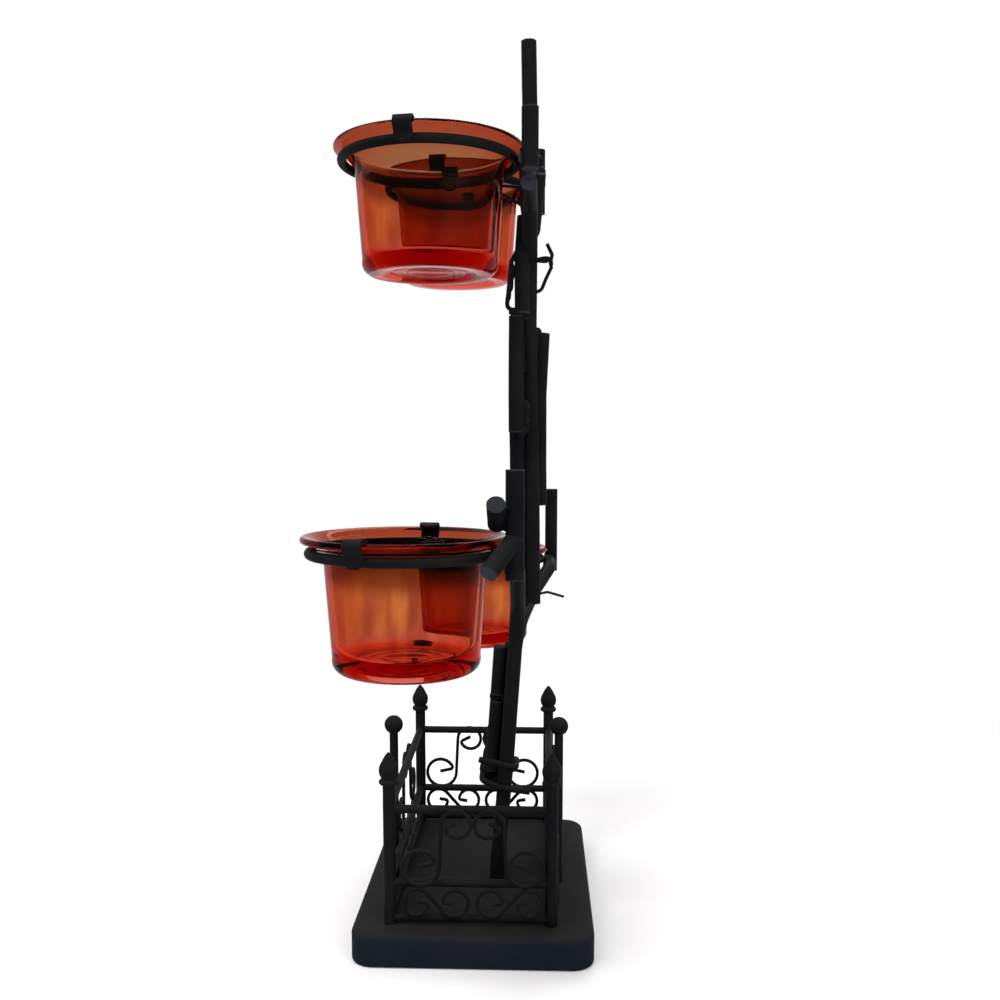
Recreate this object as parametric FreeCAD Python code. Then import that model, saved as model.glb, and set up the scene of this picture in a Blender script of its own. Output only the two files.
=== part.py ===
import FreeCAD, Part
import math
import os

# Tree candle holder: a bare tree of blunt steel rods on a block base, inside a miniature
# scrolled fence, with four flared glass cups held by clips in wire rings.
# Millimetres. X runs along the tree's spread, -Y is the cup side, Z is up.
# The origin is the middle of the base's underside.

# Base block
base_length = 119.0
base_width = 90.0
base_height = 12.2
base_corner_radius = 8.5
base_top_round = 2.0
base_foot_bevel = 0.8

# Fence: its size and the place of its middle, in shares of the base's length and width
fence_length_share = 0.874
fence_width_share = 0.6667
fence_x_share = -0.0286
fence_y_share = -0.01
corner_post_dia = 4.6
corner_post_height = 53.3
post_pin_dia = 2.4
post_pin_depth = 6.0
pin_clearance = 0.05
middle_post_dia = 3.5
middle_post_height = 61.6
middle_post_share = 0.26
rail_dia = 3.2
top_rail_level = 44.0
middle_rail_level = 15.9
bottom_rail_level = 2.3

# Finials
acorn_dia = 6.9
acorn_length = 12.2
collar_dia = 7.3
ball_dia = 7.5

# Scrolls, bent from square wire; shares are of the reach that a pair has to each side
scroll_wire = 1.4
scroll_gap = 0.05
upper_curl_share = 0.18
upper_curl_rise = 0.4
big_curl_share = 0.228
big_curl_x_share = 0.64
big_curl_drop = 0.1
low_curl_share = 0.173
low_curl_inner_share = 0.23
low_curl_outer_share = 0.69
curl_tighten = 0.6
curl_tail_bend = 0.95
upper_curl_tail = 4.2
big_curl_tail = 5.2
low_curl_tail = 3.0
half_turn = 180.0
upper_curl_turn = 150.0
low_curl_turn = 130.0
upper_tail_turn = 90.0
big_tail_turn = 105.0
long_bay_share = 0.916
short_bay_share = 0.779
short_bay_start_share = 0.148
end_scroll_shift = 1.0

# Tree: its reach, depth and height scale the places of the rods
tree_reach = 84.0
tree_depth = 20.0
tree_height = 330.0
rod_dia = 5.6
rod_gap = 0.08
rod_end_bevel = 0.6
rod_bend_radius = 14.0
tie_wire_dia = 1.2
tie_bend_radius = 2.4
foot_tie_dia = 2.2
foot_tie_bend_radius = 3.6

# Fixing screws under the base
screw_dia = 3.0
screw_head_dia = 5.6
screw_head_height = 2.2
screw_grip = 7.0
screw_hole_clearance = 0.2
counterbore_dia = 7.0
counterbore_depth = 4.0

# Glass cups
cup_height = 44.7
cup_rim_dia = 68.0
cup_neck_dia = 52.8
cup_heel_dia = 48.8
cup_foot_dia = 43.6
cup_wall = 2.3
cup_floor = 6.0
cup_floor_round = 4.0
cup_flare_height = 11.0
cup_heel_height = 5.0
cup_punt_dia = 34.0
cup_punt_depth = 1.2

# Cup rings and clips
ring_radius = 31.0
ring_wire_dia = 3.4
ring_clearance = 0.35
ring_seat_drop = 2.5
clip_width = 6.4
clip_thickness = 1.0
clip_clearance = 0.45
clip_foot = 3.6
clip_lip = 3.4
clip_lower_near_angle = -20.0
clip_upper_near_angle = -9.0
clip_far_angle = 172.0

# Middle of each cup's rim, in shares of the tree's reach, depth and height
cup_place_shares = {
    "lower_right": (1.0, -0.94, 0.45),
    "lower_left": (-0.76, -0.235, 0.3925),
    "upper_right": (0.44, -0.742, 0.857),
    "upper_left": (-0.57, -0.58, 0.8876),
}

# The trunk's lean, in shares of the tree's depth and height
trunk_line_shares = [(0.425, 0.0), (0.425, 0.02), (0.615, 0.15), (0.775, 0.29)]
trunk_x_share = 0.095

# Middle lines of the rods, in shares of the tree's reach, depth and height
core_top_shares = [(0.095, 0.85, 0.365), (0.1, 0.798, 0.57)]
leader_shares = [(0.095, 1.14, 0.345), (0.095, 1.115, 0.455), (0.083, 1.075, 0.576), (0.071, 1.04, 0.68),
                 (0.036, 1.05, 0.795), (0.071, 1.04, 0.909), (0.06, 1.01, 1.0)]
front_stay_shares = [(0.169, 0.795, 0.552), (0.169, 0.79, 0.594), (0.107, 0.785, 0.648), (0.104, 0.79, 0.688)]
back_stay_shares = [(0.019, 1.255, 0.464), (0.03, 1.245, 0.518), (0.027, 1.24, 0.597), (0.014, 1.3, 0.67)]
upper_stay_shares = [(0.128, 0.906, 0.6905), (0.107, 0.895, 0.755), (0.1, 0.945, 0.802)]
crown_stub_shares = [(0.048, 1.1, 0.788), (0.143, 1.205, 0.848)]
crown_brace_shares = [(0.048, 1.05, 0.755), (0.31, 1.045, 0.802), (0.571, 1.035, 0.812)]
bough_start_shares = {
    "lower_right": [(0.2, 0.84, 0.342), (0.5, 0.85, 0.395)],
    "lower_left": [(-0.03, 0.875, 0.318), (-0.36, 1.15, 0.343)],
    "upper_right": [(0.036, 1.05, 0.794), (0.167, 0.99, 0.818)],
    "upper_left": [(0.038, 1.05, 0.782), (-0.214, 1.08, 0.83)],
}

# How far each bough runs level before and past the back of its ring, in shares of the reach
level_run_shares = {
    "lower_right": (-0.15, 0.19),
    "lower_left": (0.17, -0.19),
    "upper_right": (-0.14, 0.19),
    "upper_left": (0.15, -0.19),
}

# Twigs that stand at the ends of the boughs: drop and length in shares of the height
twig_shares = {
    "lower_right": (0.014, 0.104),
    "lower_left": (0.016, 0.12),
    "upper_right": (0.012, 0.062),
    "upper_left": (0.012, 0.085),
}
twig_back_share = 0.2

# Thin wires twisted round the rods, in shares of the tree's reach, depth and height
tie_shares = {
    "hook": [(0.07, 1.04, 0.754), (0.088, 1.36, 0.751), (0.092, 1.5, 0.756), (0.095, 1.376, 0.771)],
    "hook_return": [(0.086, 1.472, 0.7455), (0.085, 1.35, 0.73), (0.083, 1.27, 0.718), (0.07, 1.04, 0.715)],
    "taper": [(0.106, 0.9, 0.775), (0.104, 0.69, 0.75), (0.112, 0.65, 0.724), (0.118, 0.597, 0.694),
              (0.128, 0.906, 0.6955)],
    "hair": [(0.1145, 1.17, 0.833), (0.143, 0.931, 0.832), (0.143, 0.379, 0.835), (0.143, 0.388, 0.828),
             (0.143, 0.627, 0.822), (0.12, 0.99, 0.809)],
    "fork": [(0.095, 1.14, 0.355), (0.1, 1.42, 0.3595), (0.107, 1.755, 0.354)],
}
foot_tie_level_shares = [0.158, 0.148, 0.141, 0.137, 0.132, 0.128, 0.123, 0.118]
front_brace_level_shares = [(0.136, 0.224), (0.232, 0.292)]

fence_off_x = base_length * fence_x_share
fence_off_y = base_width * fence_y_share
fence_half_x = base_length * fence_length_share / 2
fence_half_y = base_width * fence_width_share / 2
middle_post_off = fence_half_x * middle_post_share
rod_step = rod_dia + rod_gap


def at(share_x, share_y, share_z):
    """A point of the tree from its shares of reach, depth and height."""
    return FreeCAD.Vector(fence_off_x + share_x * tree_reach, fence_off_y + share_y * tree_depth,
                          base_height + share_z * tree_height)


def places(shares):
    return [at(*share) for share in shares]


def moved(shape, x, y, z):
    copy = shape.copy()
    copy.translate(FreeCAD.Vector(x, y, z))
    return copy


def bent_path(points, radius):
    """Straight runs through the points, joined by tangent arcs."""
    edges = []
    start = points[0]
    for before, corner, after in zip(points, points[1:], points[2:]):
        into = (corner - before).normalize()
        out = (after - corner).normalize()
        turn = into.getAngle(out)
        shortest = min((corner - before).Length, (after - corner).Length)
        reach = min(radius * math.tan(turn / 2), shortest * 0.45)
        bend = reach / math.tan(turn / 2)
        first = corner - into * reach
        last = corner + out * reach
        inward = (out - into).normalize()
        middle = corner + inward * (bend / math.cos(turn / 2) - bend)
        edges.append(Part.LineSegment(start, first).toShape())
        edges.append(Part.Arc(first, middle, last).toShape())
        start = last
    edges.append(Part.LineSegment(start, points[-1]).toShape())
    return Part.Wire(edges)


def swept_rod(path, dia):
    """A round rod of one diameter along a path."""
    first = path.Edges[0]
    along = first.tangentAt(first.FirstParameter)
    section = Part.Wire([Part.makeCircle(dia / 2, first.valueAt(first.FirstParameter), along)])
    return path.makePipeShell([section], True, False)


def rod_through(points, blunt_start=True):
    """A tree rod through the points, with the sharp edge taken off its free ends."""
    rod = swept_rod(bent_path(points, rod_bend_radius), rod_dia)
    free = [points[-1]] + ([points[0]] if blunt_start else [])
    ends = [face for face in rod.Faces if face.Surface.TypeId == "Part::GeomPlane"
            and min((face.CenterOfMass - point).Length for point in free) < rod_gap]
    return rod.makeChamfer(rod_end_bevel, [edge for face in ends for edge in face.Edges])


def coped(rod, *carriers):
    """Shapes the rod to the round of the rods that it is welded to."""
    for carrier in carriers:
        rod = sorted(rod.cut(carrier).Solids, key=lambda solid: solid.Volume)[-1]
    return rod


def revolved(edges):
    """A solid turned round the Z axis from a closed outline in the XZ plane."""
    return Part.Face(Part.Wire(edges)).revolve(FreeCAD.Vector(0, 0, 0), FreeCAD.Vector(0, 0, 1), 360)


# Base

def corner_places():
    """Name and place of each fence corner."""
    for end, side_x in (("right", 1), ("left", -1)):
        for side, side_y in (("front", -1), ("back", 1)):
            yield side + "_" + end, fence_off_x + side_x * fence_half_x, fence_off_y + side_y * fence_half_y


def trunk_foot(place):
    """Middle of the foot of a trunk rod: 1 is the right one, 0 the core, -1 the left one."""
    return at(trunk_x_share, *trunk_line_shares[0]) + FreeCAD.Vector(place * rod_step, 0, 0)


def base_block():
    block = Part.makeBox(base_length, base_width, base_height,
                         FreeCAD.Vector(-base_length / 2, -base_width / 2, 0))
    block = block.makeFillet(base_corner_radius, [e for e in block.Edges if e.BoundBox.ZLength > base_height / 2])
    block = block.makeFillet(base_top_round, [e for e in block.Edges if e.BoundBox.ZMin > base_height / 2])
    block = block.makeChamfer(base_foot_bevel, [e for e in block.Edges if e.BoundBox.ZMax < base_height / 2])
    depth = post_pin_depth + pin_clearance
    for name, x, y in corner_places():
        block = block.cut(Part.makeCylinder(post_pin_dia / 2 + pin_clearance, depth,
                                            FreeCAD.Vector(x, y, base_height - depth)))
    for place in (-1, 1):
        foot = trunk_foot(place)
        hole = Part.makeCylinder(screw_dia / 2 + screw_hole_clearance, base_height, FreeCAD.Vector(foot.x, foot.y, 0))
        seat = Part.makeCylinder(counterbore_dia / 2, counterbore_depth, FreeCAD.Vector(foot.x, foot.y, 0))
        block = block.cut(hole.fuse(seat))
    return block


def trunk_screws():
    """Two pan-head screws, up through the base into the feet of the outer trunk rods."""
    shank_length = base_height - counterbore_depth + screw_grip
    head = Part.makeCylinder(screw_head_dia / 2, screw_head_height)
    head = head.makeFillet(screw_head_height / 3, [e for e in head.Edges if e.BoundBox.ZMax < screw_head_height / 2])
    screw = head.fuse(Part.makeCylinder(screw_dia / 2, screw_head_height + shank_length)).removeSplitter()
    level = counterbore_depth - screw_head_height
    feet = [trunk_foot(place) for place in (-1, 1)]
    return Part.makeCompound([moved(screw, foot.x, foot.y, level) for foot in feet])


# Fence

def corner_post(x, y):
    post = Part.makeCylinder(corner_post_dia / 2, corner_post_height, FreeCAD.Vector(x, y, base_height))
    pin = Part.makeCylinder(post_pin_dia / 2, post_pin_depth, FreeCAD.Vector(x, y, base_height - post_pin_depth))
    return post.fuse(pin)


def acorn_finial(x, y):
    """Collar, waist and pointed bulb, in one turned piece."""
    v = FreeCAD.Vector
    bulb = acorn_dia / 2
    collar = collar_dia / 2
    collar_top = acorn_length * 0.17
    edge = v(collar * 0.8, 0, 0)
    shoulder = v(collar * 0.8, 0, collar_top)
    waist = v(bulb * 0.72, 0, collar_top * 1.25)
    upper = v(bulb * 0.62, 0, acorn_length * 0.72)
    tip = v(bulb * 0.08, 0, acorn_length)
    outline = [
        Part.LineSegment(v(0, 0, 0), edge).toShape(),
        Part.Arc(edge, v(collar, 0, collar_top / 2), shoulder).toShape(),
        Part.LineSegment(shoulder, waist).toShape(),
        Part.Arc(waist, v(bulb, 0, acorn_length * 0.42), upper).toShape(),
        Part.Arc(upper, v(bulb * 0.25, 0, acorn_length * 0.88), tip).toShape(),
        Part.LineSegment(tip, v(0, 0, acorn_length)).toShape(),
        Part.LineSegment(v(0, 0, acorn_length), v(0, 0, 0)).toShape(),
    ]
    return moved(revolved(outline), x, y, base_height + corner_post_height)


def middle_post(side):
    """A ball-topped post, welded outside the rails: side is -1 at the front and 1 at the back."""
    y = fence_off_y + side * (fence_half_y + rail_dia / 2 + middle_post_dia / 2)
    return Part.makeCylinder(middle_post_dia / 2, middle_post_height,
                             FreeCAD.Vector(fence_off_x + middle_post_off, y, base_height))


def ball_finial(post):
    """A ball with a flat where it sits on its post."""
    centre = post.BoundBox.Center
    seat = math.sqrt(ball_dia ** 2 - middle_post_dia ** 2) / 2
    ball = Part.makeSphere(ball_dia / 2, FreeCAD.Vector(centre.x, centre.y, post.BoundBox.ZMax + seat))
    return ball.cut(post)


def fence_rails(posts):
    """Three rails along each of the four sides, each coped to its corner posts."""
    rails = {}
    levels = {"top": top_rail_level, "middle": middle_rail_level, "bottom": bottom_rail_level}
    corners = {name: FreeCAD.Vector(x, y, base_height) for name, x, y in corner_places()}
    sides = {"right": ("front_right", "back_right"), "left": ("front_left", "back_left"),
             "front": ("front_left", "front_right"), "back": ("back_left", "back_right")}
    for side, (first, second) in sides.items():
        for name, level in levels.items():
            start = corners[first] + FreeCAD.Vector(0, 0, level)
            along = corners[second] - corners[first]
            bar = Part.makeCylinder(rail_dia / 2, along.Length, start, along)
            rails[side + "_" + name + "_rail"] = coped(bar, posts[first], posts[second])
    return rails


# Scrolls

def trace(here, heading, moves):
    """Edges in the XZ plane: each move is an arc (radius, degrees) or, at radius zero, a length."""
    edges = []
    for radius, amount in moves:
        if radius == 0:
            there = here + heading * amount
            edges.append(Part.LineSegment(here, there).toShape())
        else:
            centre = here + FreeCAD.Vector(-heading.z, 0, heading.x) * math.copysign(radius, amount)
            half = FreeCAD.Rotation(FreeCAD.Vector(0, 1, 0), -amount / 2)
            middle = centre + half.multVec(here - centre)
            there = centre + half.multVec(middle - centre)
            edges.append(Part.Arc(here, middle, there).toShape())
            heading = half.multVec(half.multVec(heading))
        here = there
    return edges


def curl(start, heading, radius, side, ending):
    """Half a turn, a tighter part of a turn, a sharp bend and a straight tail to the middle."""
    tight_turn, tail_turn, tail = ending
    return trace(start, heading, [(radius, half_turn * side), (radius - curl_tighten, tight_turn * side),
                                  (curl_tail_bend, tail_turn * side), (0, tail)])


def s_scroll(first, first_radius, second, second_radius, turn, endings):
    """Two curls joined by the straight stem that crosses between them."""
    across = second - first
    reach = first_radius + second_radius
    lean = math.degrees(math.asin(reach / across.Length))
    stem = math.sqrt(across.Length ** 2 - reach ** 2)
    heading = FreeCAD.Rotation(FreeCAD.Vector(0, 1, 0), lean * turn).multVec(across).normalize()
    side = FreeCAD.Vector(heading.z, 0, -heading.x) * turn
    leave = first - side * first_radius
    arrive = leave + heading * stem
    edges = [Part.LineSegment(leave, arrive).toShape()]
    edges += curl(leave, heading * -1, first_radius, turn, endings[0])
    edges += curl(arrive, heading, second_radius, turn, endings[1])
    path = Part.Wire(Part.__sortEdges__(edges))
    end = path.OrderedVertexes[0].Point
    way = (path.OrderedVertexes[1].Point - end).normalize()
    across_wire = FreeCAD.Vector(-way.z, 0, way.x) * (scroll_wire / 2)
    out = FreeCAD.Vector(0, scroll_wire / 2, 0)
    corners = [end + across_wire + out, end + across_wire - out, end - across_wire - out, end - across_wire + out]
    section = Part.makePolygon(corners + corners[:1])
    return path.makePipeShell([section], True, False)


def half_panel(reach):
    """The tall S over the lying S, to one side of a panel's middle line."""
    v = FreeCAD.Vector
    upper = reach * upper_curl_share
    big = reach * big_curl_share
    low = reach * low_curl_share
    upper_place = v(upper + scroll_wire / 2 + scroll_gap, 0, top_rail_level + upper_curl_rise - upper)
    big_place = v(reach * big_curl_x_share, 0, middle_rail_level - big_curl_drop + big)
    low_level = (middle_rail_level + bottom_rail_level) / 2
    upper_end = (upper_curl_turn, upper_tail_turn, upper_curl_tail)
    big_end = (upper_curl_turn, big_tail_turn, big_curl_tail)
    low_end = (low_curl_turn, upper_tail_turn, low_curl_tail)
    tall = s_scroll(upper_place, upper, big_place, big, 1, (upper_end, big_end))
    lying = s_scroll(v(reach * low_curl_inner_share, 0, low_level), low,
                     v(reach * low_curl_outer_share, 0, low_level), low, -1, (low_end, low_end))
    return [tall, lying]


def full_panel(reach):
    """A half panel and its mirror image."""
    half = half_panel(reach)
    return half + [scroll.mirror(FreeCAD.Vector(0, 0, 0), FreeCAD.Vector(1, 0, 0)) for scroll in half]


def fence_scrolls():
    """Scrolls welded to the outer face of the rails, on all four sides."""
    out = rail_dia / 2 + scroll_wire / 2 + scroll_gap
    panels = {}
    for end, side in (("right", 1), ("left", -1)):
        turned = [scroll.rotated(FreeCAD.Vector(0, 0, 0), FreeCAD.Vector(0, 0, 1), 90)
                  for scroll in full_panel(fence_half_y)]
        x = fence_off_x + side * (fence_half_x + out)
        y = fence_off_y + side * end_scroll_shift
        panels[end + "_scrolls"] = Part.makeCompound([moved(s, x, y, base_height) for s in turned])
    long_bay = fence_off_x + (middle_post_off - fence_half_x) / 2
    long_scrolls = full_panel((middle_post_off + fence_half_x) / 2 * long_bay_share)
    short_length = fence_half_x - middle_post_off
    short_bay = fence_off_x + middle_post_off + short_length * short_bay_start_share
    short_scrolls = half_panel(short_length * short_bay_share)
    for name, side in (("front", -1), ("back", 1)):
        y = fence_off_y + side * (fence_half_y + out)
        solids = [moved(s, long_bay, y, base_height) for s in long_scrolls]
        solids += [moved(s, short_bay, y, base_height) for s in short_scrolls]
        panels[name + "_scrolls"] = Part.makeCompound(solids)
    return panels


# Glass cups, rings and clips

def cup_centre(name):
    """Middle of the top of the cup's rim."""
    return at(*cup_place_shares[name])


def flare():
    """Middle line of the flared wall: centre and radius of its arc, and the middle of the lip."""
    neck = cup_neck_dia / 2 - cup_wall / 2
    lip = FreeCAD.Vector(cup_rim_dia / 2 - cup_wall / 2, 0, -cup_wall / 2)
    rise = cup_flare_height - cup_wall / 2
    out = lip.x - neck
    radius = (out ** 2 + rise ** 2) / (2 * out)
    return FreeCAD.Vector(neck + radius, 0, -cup_flare_height), radius, lip


def glass_cup():
    """A flared cup, its rim's top at the origin's level, with a heavy floor and a foot ring."""
    v = FreeCAD.Vector
    centre, radius, lip = flare()
    way = (lip - centre).normalize()
    along = v(way.z, 0, -way.x)
    half = math.radians(180) - math.atan2(way.z, way.x)
    half_way = v(-math.cos(half / 2), 0, math.sin(half / 2))
    half_wall = cup_wall / 2
    outer = radius - half_wall
    inner = radius + half_wall
    bottom = -cup_height
    heel = v(cup_heel_dia / 2, 0, bottom + cup_heel_height)
    foot = v(cup_foot_dia / 2, 0, bottom)
    heel_mid = v(foot.x + (heel.x - foot.x) * 0.8, 0, bottom + cup_heel_height * 0.35)
    punt = cup_punt_dia / 2
    floor = bottom + cup_floor
    inside = heel.x - cup_wall
    flat = v(inside - cup_floor_round, 0, floor)
    wall_foot = v(inside, 0, floor + cup_floor_round)
    corner_mid = v(inside - cup_floor_round * (1 - math.sqrt(0.5)), 0, floor + cup_floor_round * (1 - math.sqrt(0.5)))
    inner_neck = v(centre.x - inner, 0, centre.z)
    outer_neck = v(centre.x - outer, 0, centre.z)
    outline = [
        Part.LineSegment(v(0, 0, floor), flat).toShape(),
        Part.Arc(flat, corner_mid, wall_foot).toShape(),
        Part.LineSegment(wall_foot, inner_neck).toShape(),
        Part.Arc(inner_neck, centre + half_way * inner, centre + way * inner).toShape(),
        Part.Arc(centre + way * inner, lip + along * half_wall, centre + way * outer).toShape(),
        Part.Arc(centre + way * outer, centre + half_way * outer, outer_neck).toShape(),
        Part.LineSegment(outer_neck, heel).toShape(),
        Part.Arc(heel, heel_mid, foot).toShape(),
        Part.LineSegment(foot, v(punt, 0, bottom)).toShape(),
        Part.LineSegment(v(punt, 0, bottom), v(punt - cup_punt_depth, 0, bottom + cup_punt_depth)).toShape(),
        Part.LineSegment(v(punt - cup_punt_depth, 0, bottom + cup_punt_depth),
                         v(0, 0, bottom + cup_punt_depth)).toShape(),
        Part.LineSegment(v(0, 0, bottom + cup_punt_depth), v(0, 0, floor)).toShape(),
    ]
    return revolved(outline)


def ring_level():
    """Level of the ring's wire against the rim, where the flare rests on it."""
    centre, radius, lip = flare()
    reach = radius - cup_wall / 2 - ring_wire_dia / 2 - ring_clearance
    return centre.z + math.sqrt(reach ** 2 - (centre.x - ring_radius) ** 2)


def cup_ring():
    return Part.makeTorus(ring_radius, ring_wire_dia / 2, FreeCAD.Vector(0, 0, ring_level()))


def clip():
    """A strap from the outside of the ring, round the lip and a little way down inside the cup."""
    v = FreeCAD.Vector
    centre, radius, lip = flare()
    inner = cup_wall / 2 + clip_clearance
    outer = inner + clip_thickness
    ring_outside = ring_radius + ring_wire_dia / 2 + rod_gap
    knee = v(ring_outside + clip_thickness / 2, 0, ring_level() + ring_wire_dia / 2)
    to_lip = lip - knee
    bearing = math.atan2(to_lip.z, to_lip.x) - math.asin((inner + clip_thickness / 2) / to_lip.Length)
    slant = v(math.cos(bearing), 0, math.sin(bearing))
    out = v(slant.z, 0, -slant.x)
    over = (lip - centre).normalize()
    inward = v(-over.z, 0, over.x)
    top = (out + over).normalize()
    slant_run = math.sqrt(to_lip.Length ** 2 - (inner + clip_thickness / 2) ** 2)
    corner = clip_thickness / 2 * math.tan((math.pi / 2 - bearing) / 2)
    foot = v(0, 0, -clip_foot)
    side = v(clip_thickness / 2, 0, 0)
    outer_knee = knee + side + v(0, 0, -corner)
    inner_knee = knee - side + v(0, 0, corner)
    outline = [
        Part.LineSegment(knee - side + foot, knee + side + foot).toShape(),
        Part.LineSegment(knee + side + foot, outer_knee).toShape(),
        Part.LineSegment(outer_knee, lip + out * outer).toShape(),
        Part.Arc(lip + out * outer, lip + top * outer, lip + over * outer).toShape(),
        Part.LineSegment(lip + over * outer, lip + over * outer + inward * clip_lip).toShape(),
        Part.LineSegment(lip + over * outer + inward * clip_lip, lip + over * inner + inward * clip_lip).toShape(),
        Part.LineSegment(lip + over * inner + inward * clip_lip, lip + over * inner).toShape(),
        Part.Arc(lip + over * inner, lip + top * inner, lip + out * inner).toShape(),
        Part.LineSegment(lip + out * inner, inner_knee).toShape(),
        Part.LineSegment(inner_knee, knee - side + foot).toShape(),
    ]
    strap = Part.Face(Part.Wire(outline)).extrude(v(0, clip_width, 0))
    return moved(strap, 0, -clip_width / 2, 0)


# Tree

def trunk_line(place):
    """Middle line of the lower part of one trunk rod."""
    x = trunk_foot(place).x
    return [FreeCAD.Vector(x, at(0, share_y, 0).y, at(0, 0, share_z).z) for share_y, share_z in trunk_line_shares]


def bored(rod, place):
    """The blind hole for the screw in the foot of an outer trunk rod."""
    return rod.cut(Part.makeCylinder(screw_dia / 2, screw_grip, trunk_foot(place)))


def ring_seat(name):
    """Middle of the bough where it passes behind and just below the back of a ring."""
    reach = (ring_wire_dia + rod_dia) / 2 + rod_gap
    back = ring_radius + math.sqrt(reach ** 2 - ring_seat_drop ** 2)
    return cup_centre(name) + FreeCAD.Vector(0, back, ring_level() - ring_seat_drop)


def bough_line(name):
    seat = ring_seat(name)
    level = [seat + FreeCAD.Vector(share * tree_reach, 0, 0) for share in level_run_shares[name]]
    return places(bough_start_shares[name]) + level


def twig_foot(name):
    drop = twig_shares[name][0]
    return bough_line(name)[-1] + FreeCAD.Vector(0, twig_back_share * rod_dia, -drop * tree_height)


def twig(name):
    """The upright stub at the end of a bough."""
    foot = twig_foot(name)
    return rod_through([foot, foot + FreeCAD.Vector(0, 0, twig_shares[name][1] * tree_height)])


def front_brace(levels):
    """A short rod along the front of the trunk between two levels."""
    line = trunk_line(0) + places(core_top_shares)
    ends = []
    for share in levels:
        level = at(0, 0, share).z
        for low, high in zip(line, line[1:]):
            if low.z <= level <= high.z:
                ends.append(low + (high - low) * ((level - low.z) / (high.z - low.z)))
    return rod_through([end - FreeCAD.Vector(0, rod_step, 0) for end in ends])


def lower_right_spurs():
    """Two cut spurs by the lower right twig: one upward in front of it, one sloping down off it."""
    foot = twig_foot("lower_right")
    rise = twig_shares["lower_right"][1] * tree_height
    beside = foot - FreeCAD.Vector(0, rod_step, 0)
    high = rod_through([beside + FreeCAD.Vector(-rod_dia * 0.6, 0, rise * 0.5),
                        beside + FreeCAD.Vector(rod_dia, 0, rise * 0.7)])
    low = rod_through([foot + FreeCAD.Vector(0, 0, rise * 0.38),
                       foot + FreeCAD.Vector(rod_dia * 1.9, -rod_dia * 1.4, rise * 0.1)])
    return Part.makeCompound([high, coped(low, twig("lower_right"))])


def foot_tie():
    """A wire wound once and a half round the trunk's foot, rising as it goes."""
    heights = [at(0, 0, share).z for share in foot_tie_level_shares]
    reach = rod_dia / 2 + foot_tie_dia / 2 + rod_gap * 2
    middle = trunk_foot(0)
    right = middle.x + rod_step + reach
    left = middle.x - rod_step - reach
    line = trunk_line(0)
    trunk_y = (line[1].y + line[2].y) / 2 + rod_dia * 0.3
    back = trunk_y + reach
    front = trunk_y - rod_step - reach
    flank = trunk_y - rod_dia / 2
    plan = [(right, front - rod_dia * 0.2), (right, back), (left, back), (left, flank), (middle.x - rod_dia, front),
            (middle.x + rod_dia, front), (right, flank), (right, back + rod_dia)]
    points = [FreeCAD.Vector(x, y, z) for (x, y), z in zip(plan, heights)]
    return swept_rod(bent_path(points, foot_tie_bend_radius), foot_tie_dia)


def tree_nodes():
    """The rods of the tree, each coped to the ones that carry it."""
    rods = {}
    rods["trunk_core"] = rod_through(trunk_line(0) + places(core_top_shares), False)
    leader = rod_through(places(leader_shares))
    rods["trunk_leader"] = leader
    for name, place in (("lower_right", 1), ("lower_left", -1)):
        bough = rod_through(trunk_line(place) + bough_line(name), False)
        rods[name + "_twig"] = twig(name)
        rods[name + "_bough"] = bored(coped(bough, rods[name + "_twig"]), place)
    for name in ("upper_right", "upper_left"):
        rods[name + "_twig"] = twig(name)
        rods[name + "_bough"] = coped(rod_through(bough_line(name)), rods[name + "_twig"], leader)
    rods["lower_right_spurs"] = lower_right_spurs()
    rods["front_braces"] = Part.makeCompound([front_brace(levels) for levels in front_brace_level_shares])
    rods["front_stay"] = rod_through(places(front_stay_shares))
    rods["back_stay"] = rod_through(places(back_stay_shares))
    bough = rods["upper_right_bough"]
    stay = coped(rod_through(places(upper_stay_shares)), leader, bough)
    brace = coped(rod_through(places(crown_brace_shares)), leader, bough, stay)
    rods["upper_stay"] = stay
    rods["crown_brace"] = brace
    stub = coped(rod_through(places(crown_stub_shares)), leader, bough, stay, brace)
    rods["crown_stub"] = stub
    carriers = [leader, stay, brace, bough, stub]
    ties = [coped(swept_rod(bent_path(places(shares), tie_bend_radius), tie_wire_dia), *carriers)
            for shares in tie_shares.values()]
    rods["wire_ties"] = Part.makeCompound(ties + [foot_tie()])
    return rods


def all_nodes():
    nodes = {"base_block": base_block(), "trunk_screws": trunk_screws()}
    posts = {name: corner_post(x, y) for name, x, y in corner_places()}
    for name, x, y in corner_places():
        nodes[name + "_post"] = posts[name]
        nodes[name + "_finial"] = acorn_finial(x, y)
    for name, side in (("front", -1), ("back", 1)):
        post = middle_post(side)
        nodes[name + "_middle_post"] = post
        nodes[name + "_ball"] = ball_finial(post)
    nodes.update(fence_rails(posts))
    nodes.update(fence_scrolls())
    nodes.update(tree_nodes())
    cup = glass_cup()
    ring = cup_ring()
    strap = clip()
    for name in cup_place_shares:
        centre = cup_centre(name)
        near_angle = clip_upper_near_angle if name.startswith("upper") else clip_lower_near_angle
        straps = [strap.rotated(FreeCAD.Vector(0, 0, 0), FreeCAD.Vector(0, 0, 1), angle)
                  for angle in (near_angle, clip_far_angle)]
        nodes[name + "_cup"] = moved(cup, centre.x, centre.y, centre.z)
        nodes[name + "_ring"] = moved(ring, centre.x, centre.y, centre.z)
        nodes[name + "_clips"] = moved(Part.makeCompound(straps), centre.x, centre.y, centre.z)
    return nodes


if __name__ == "__main__":
    os.makedirs("parts", exist_ok=True)
    for node, shape in all_nodes().items():
        shape.exportStep("parts/" + node + ".step")
        print(node, len(shape.Solids), "solid(s), volume", round(shape.Volume, 1), "valid", shape.isValid())
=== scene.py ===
import math
from types import SimpleNamespace

import bmesh
import bpy
from mathutils import Matrix, Vector


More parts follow.
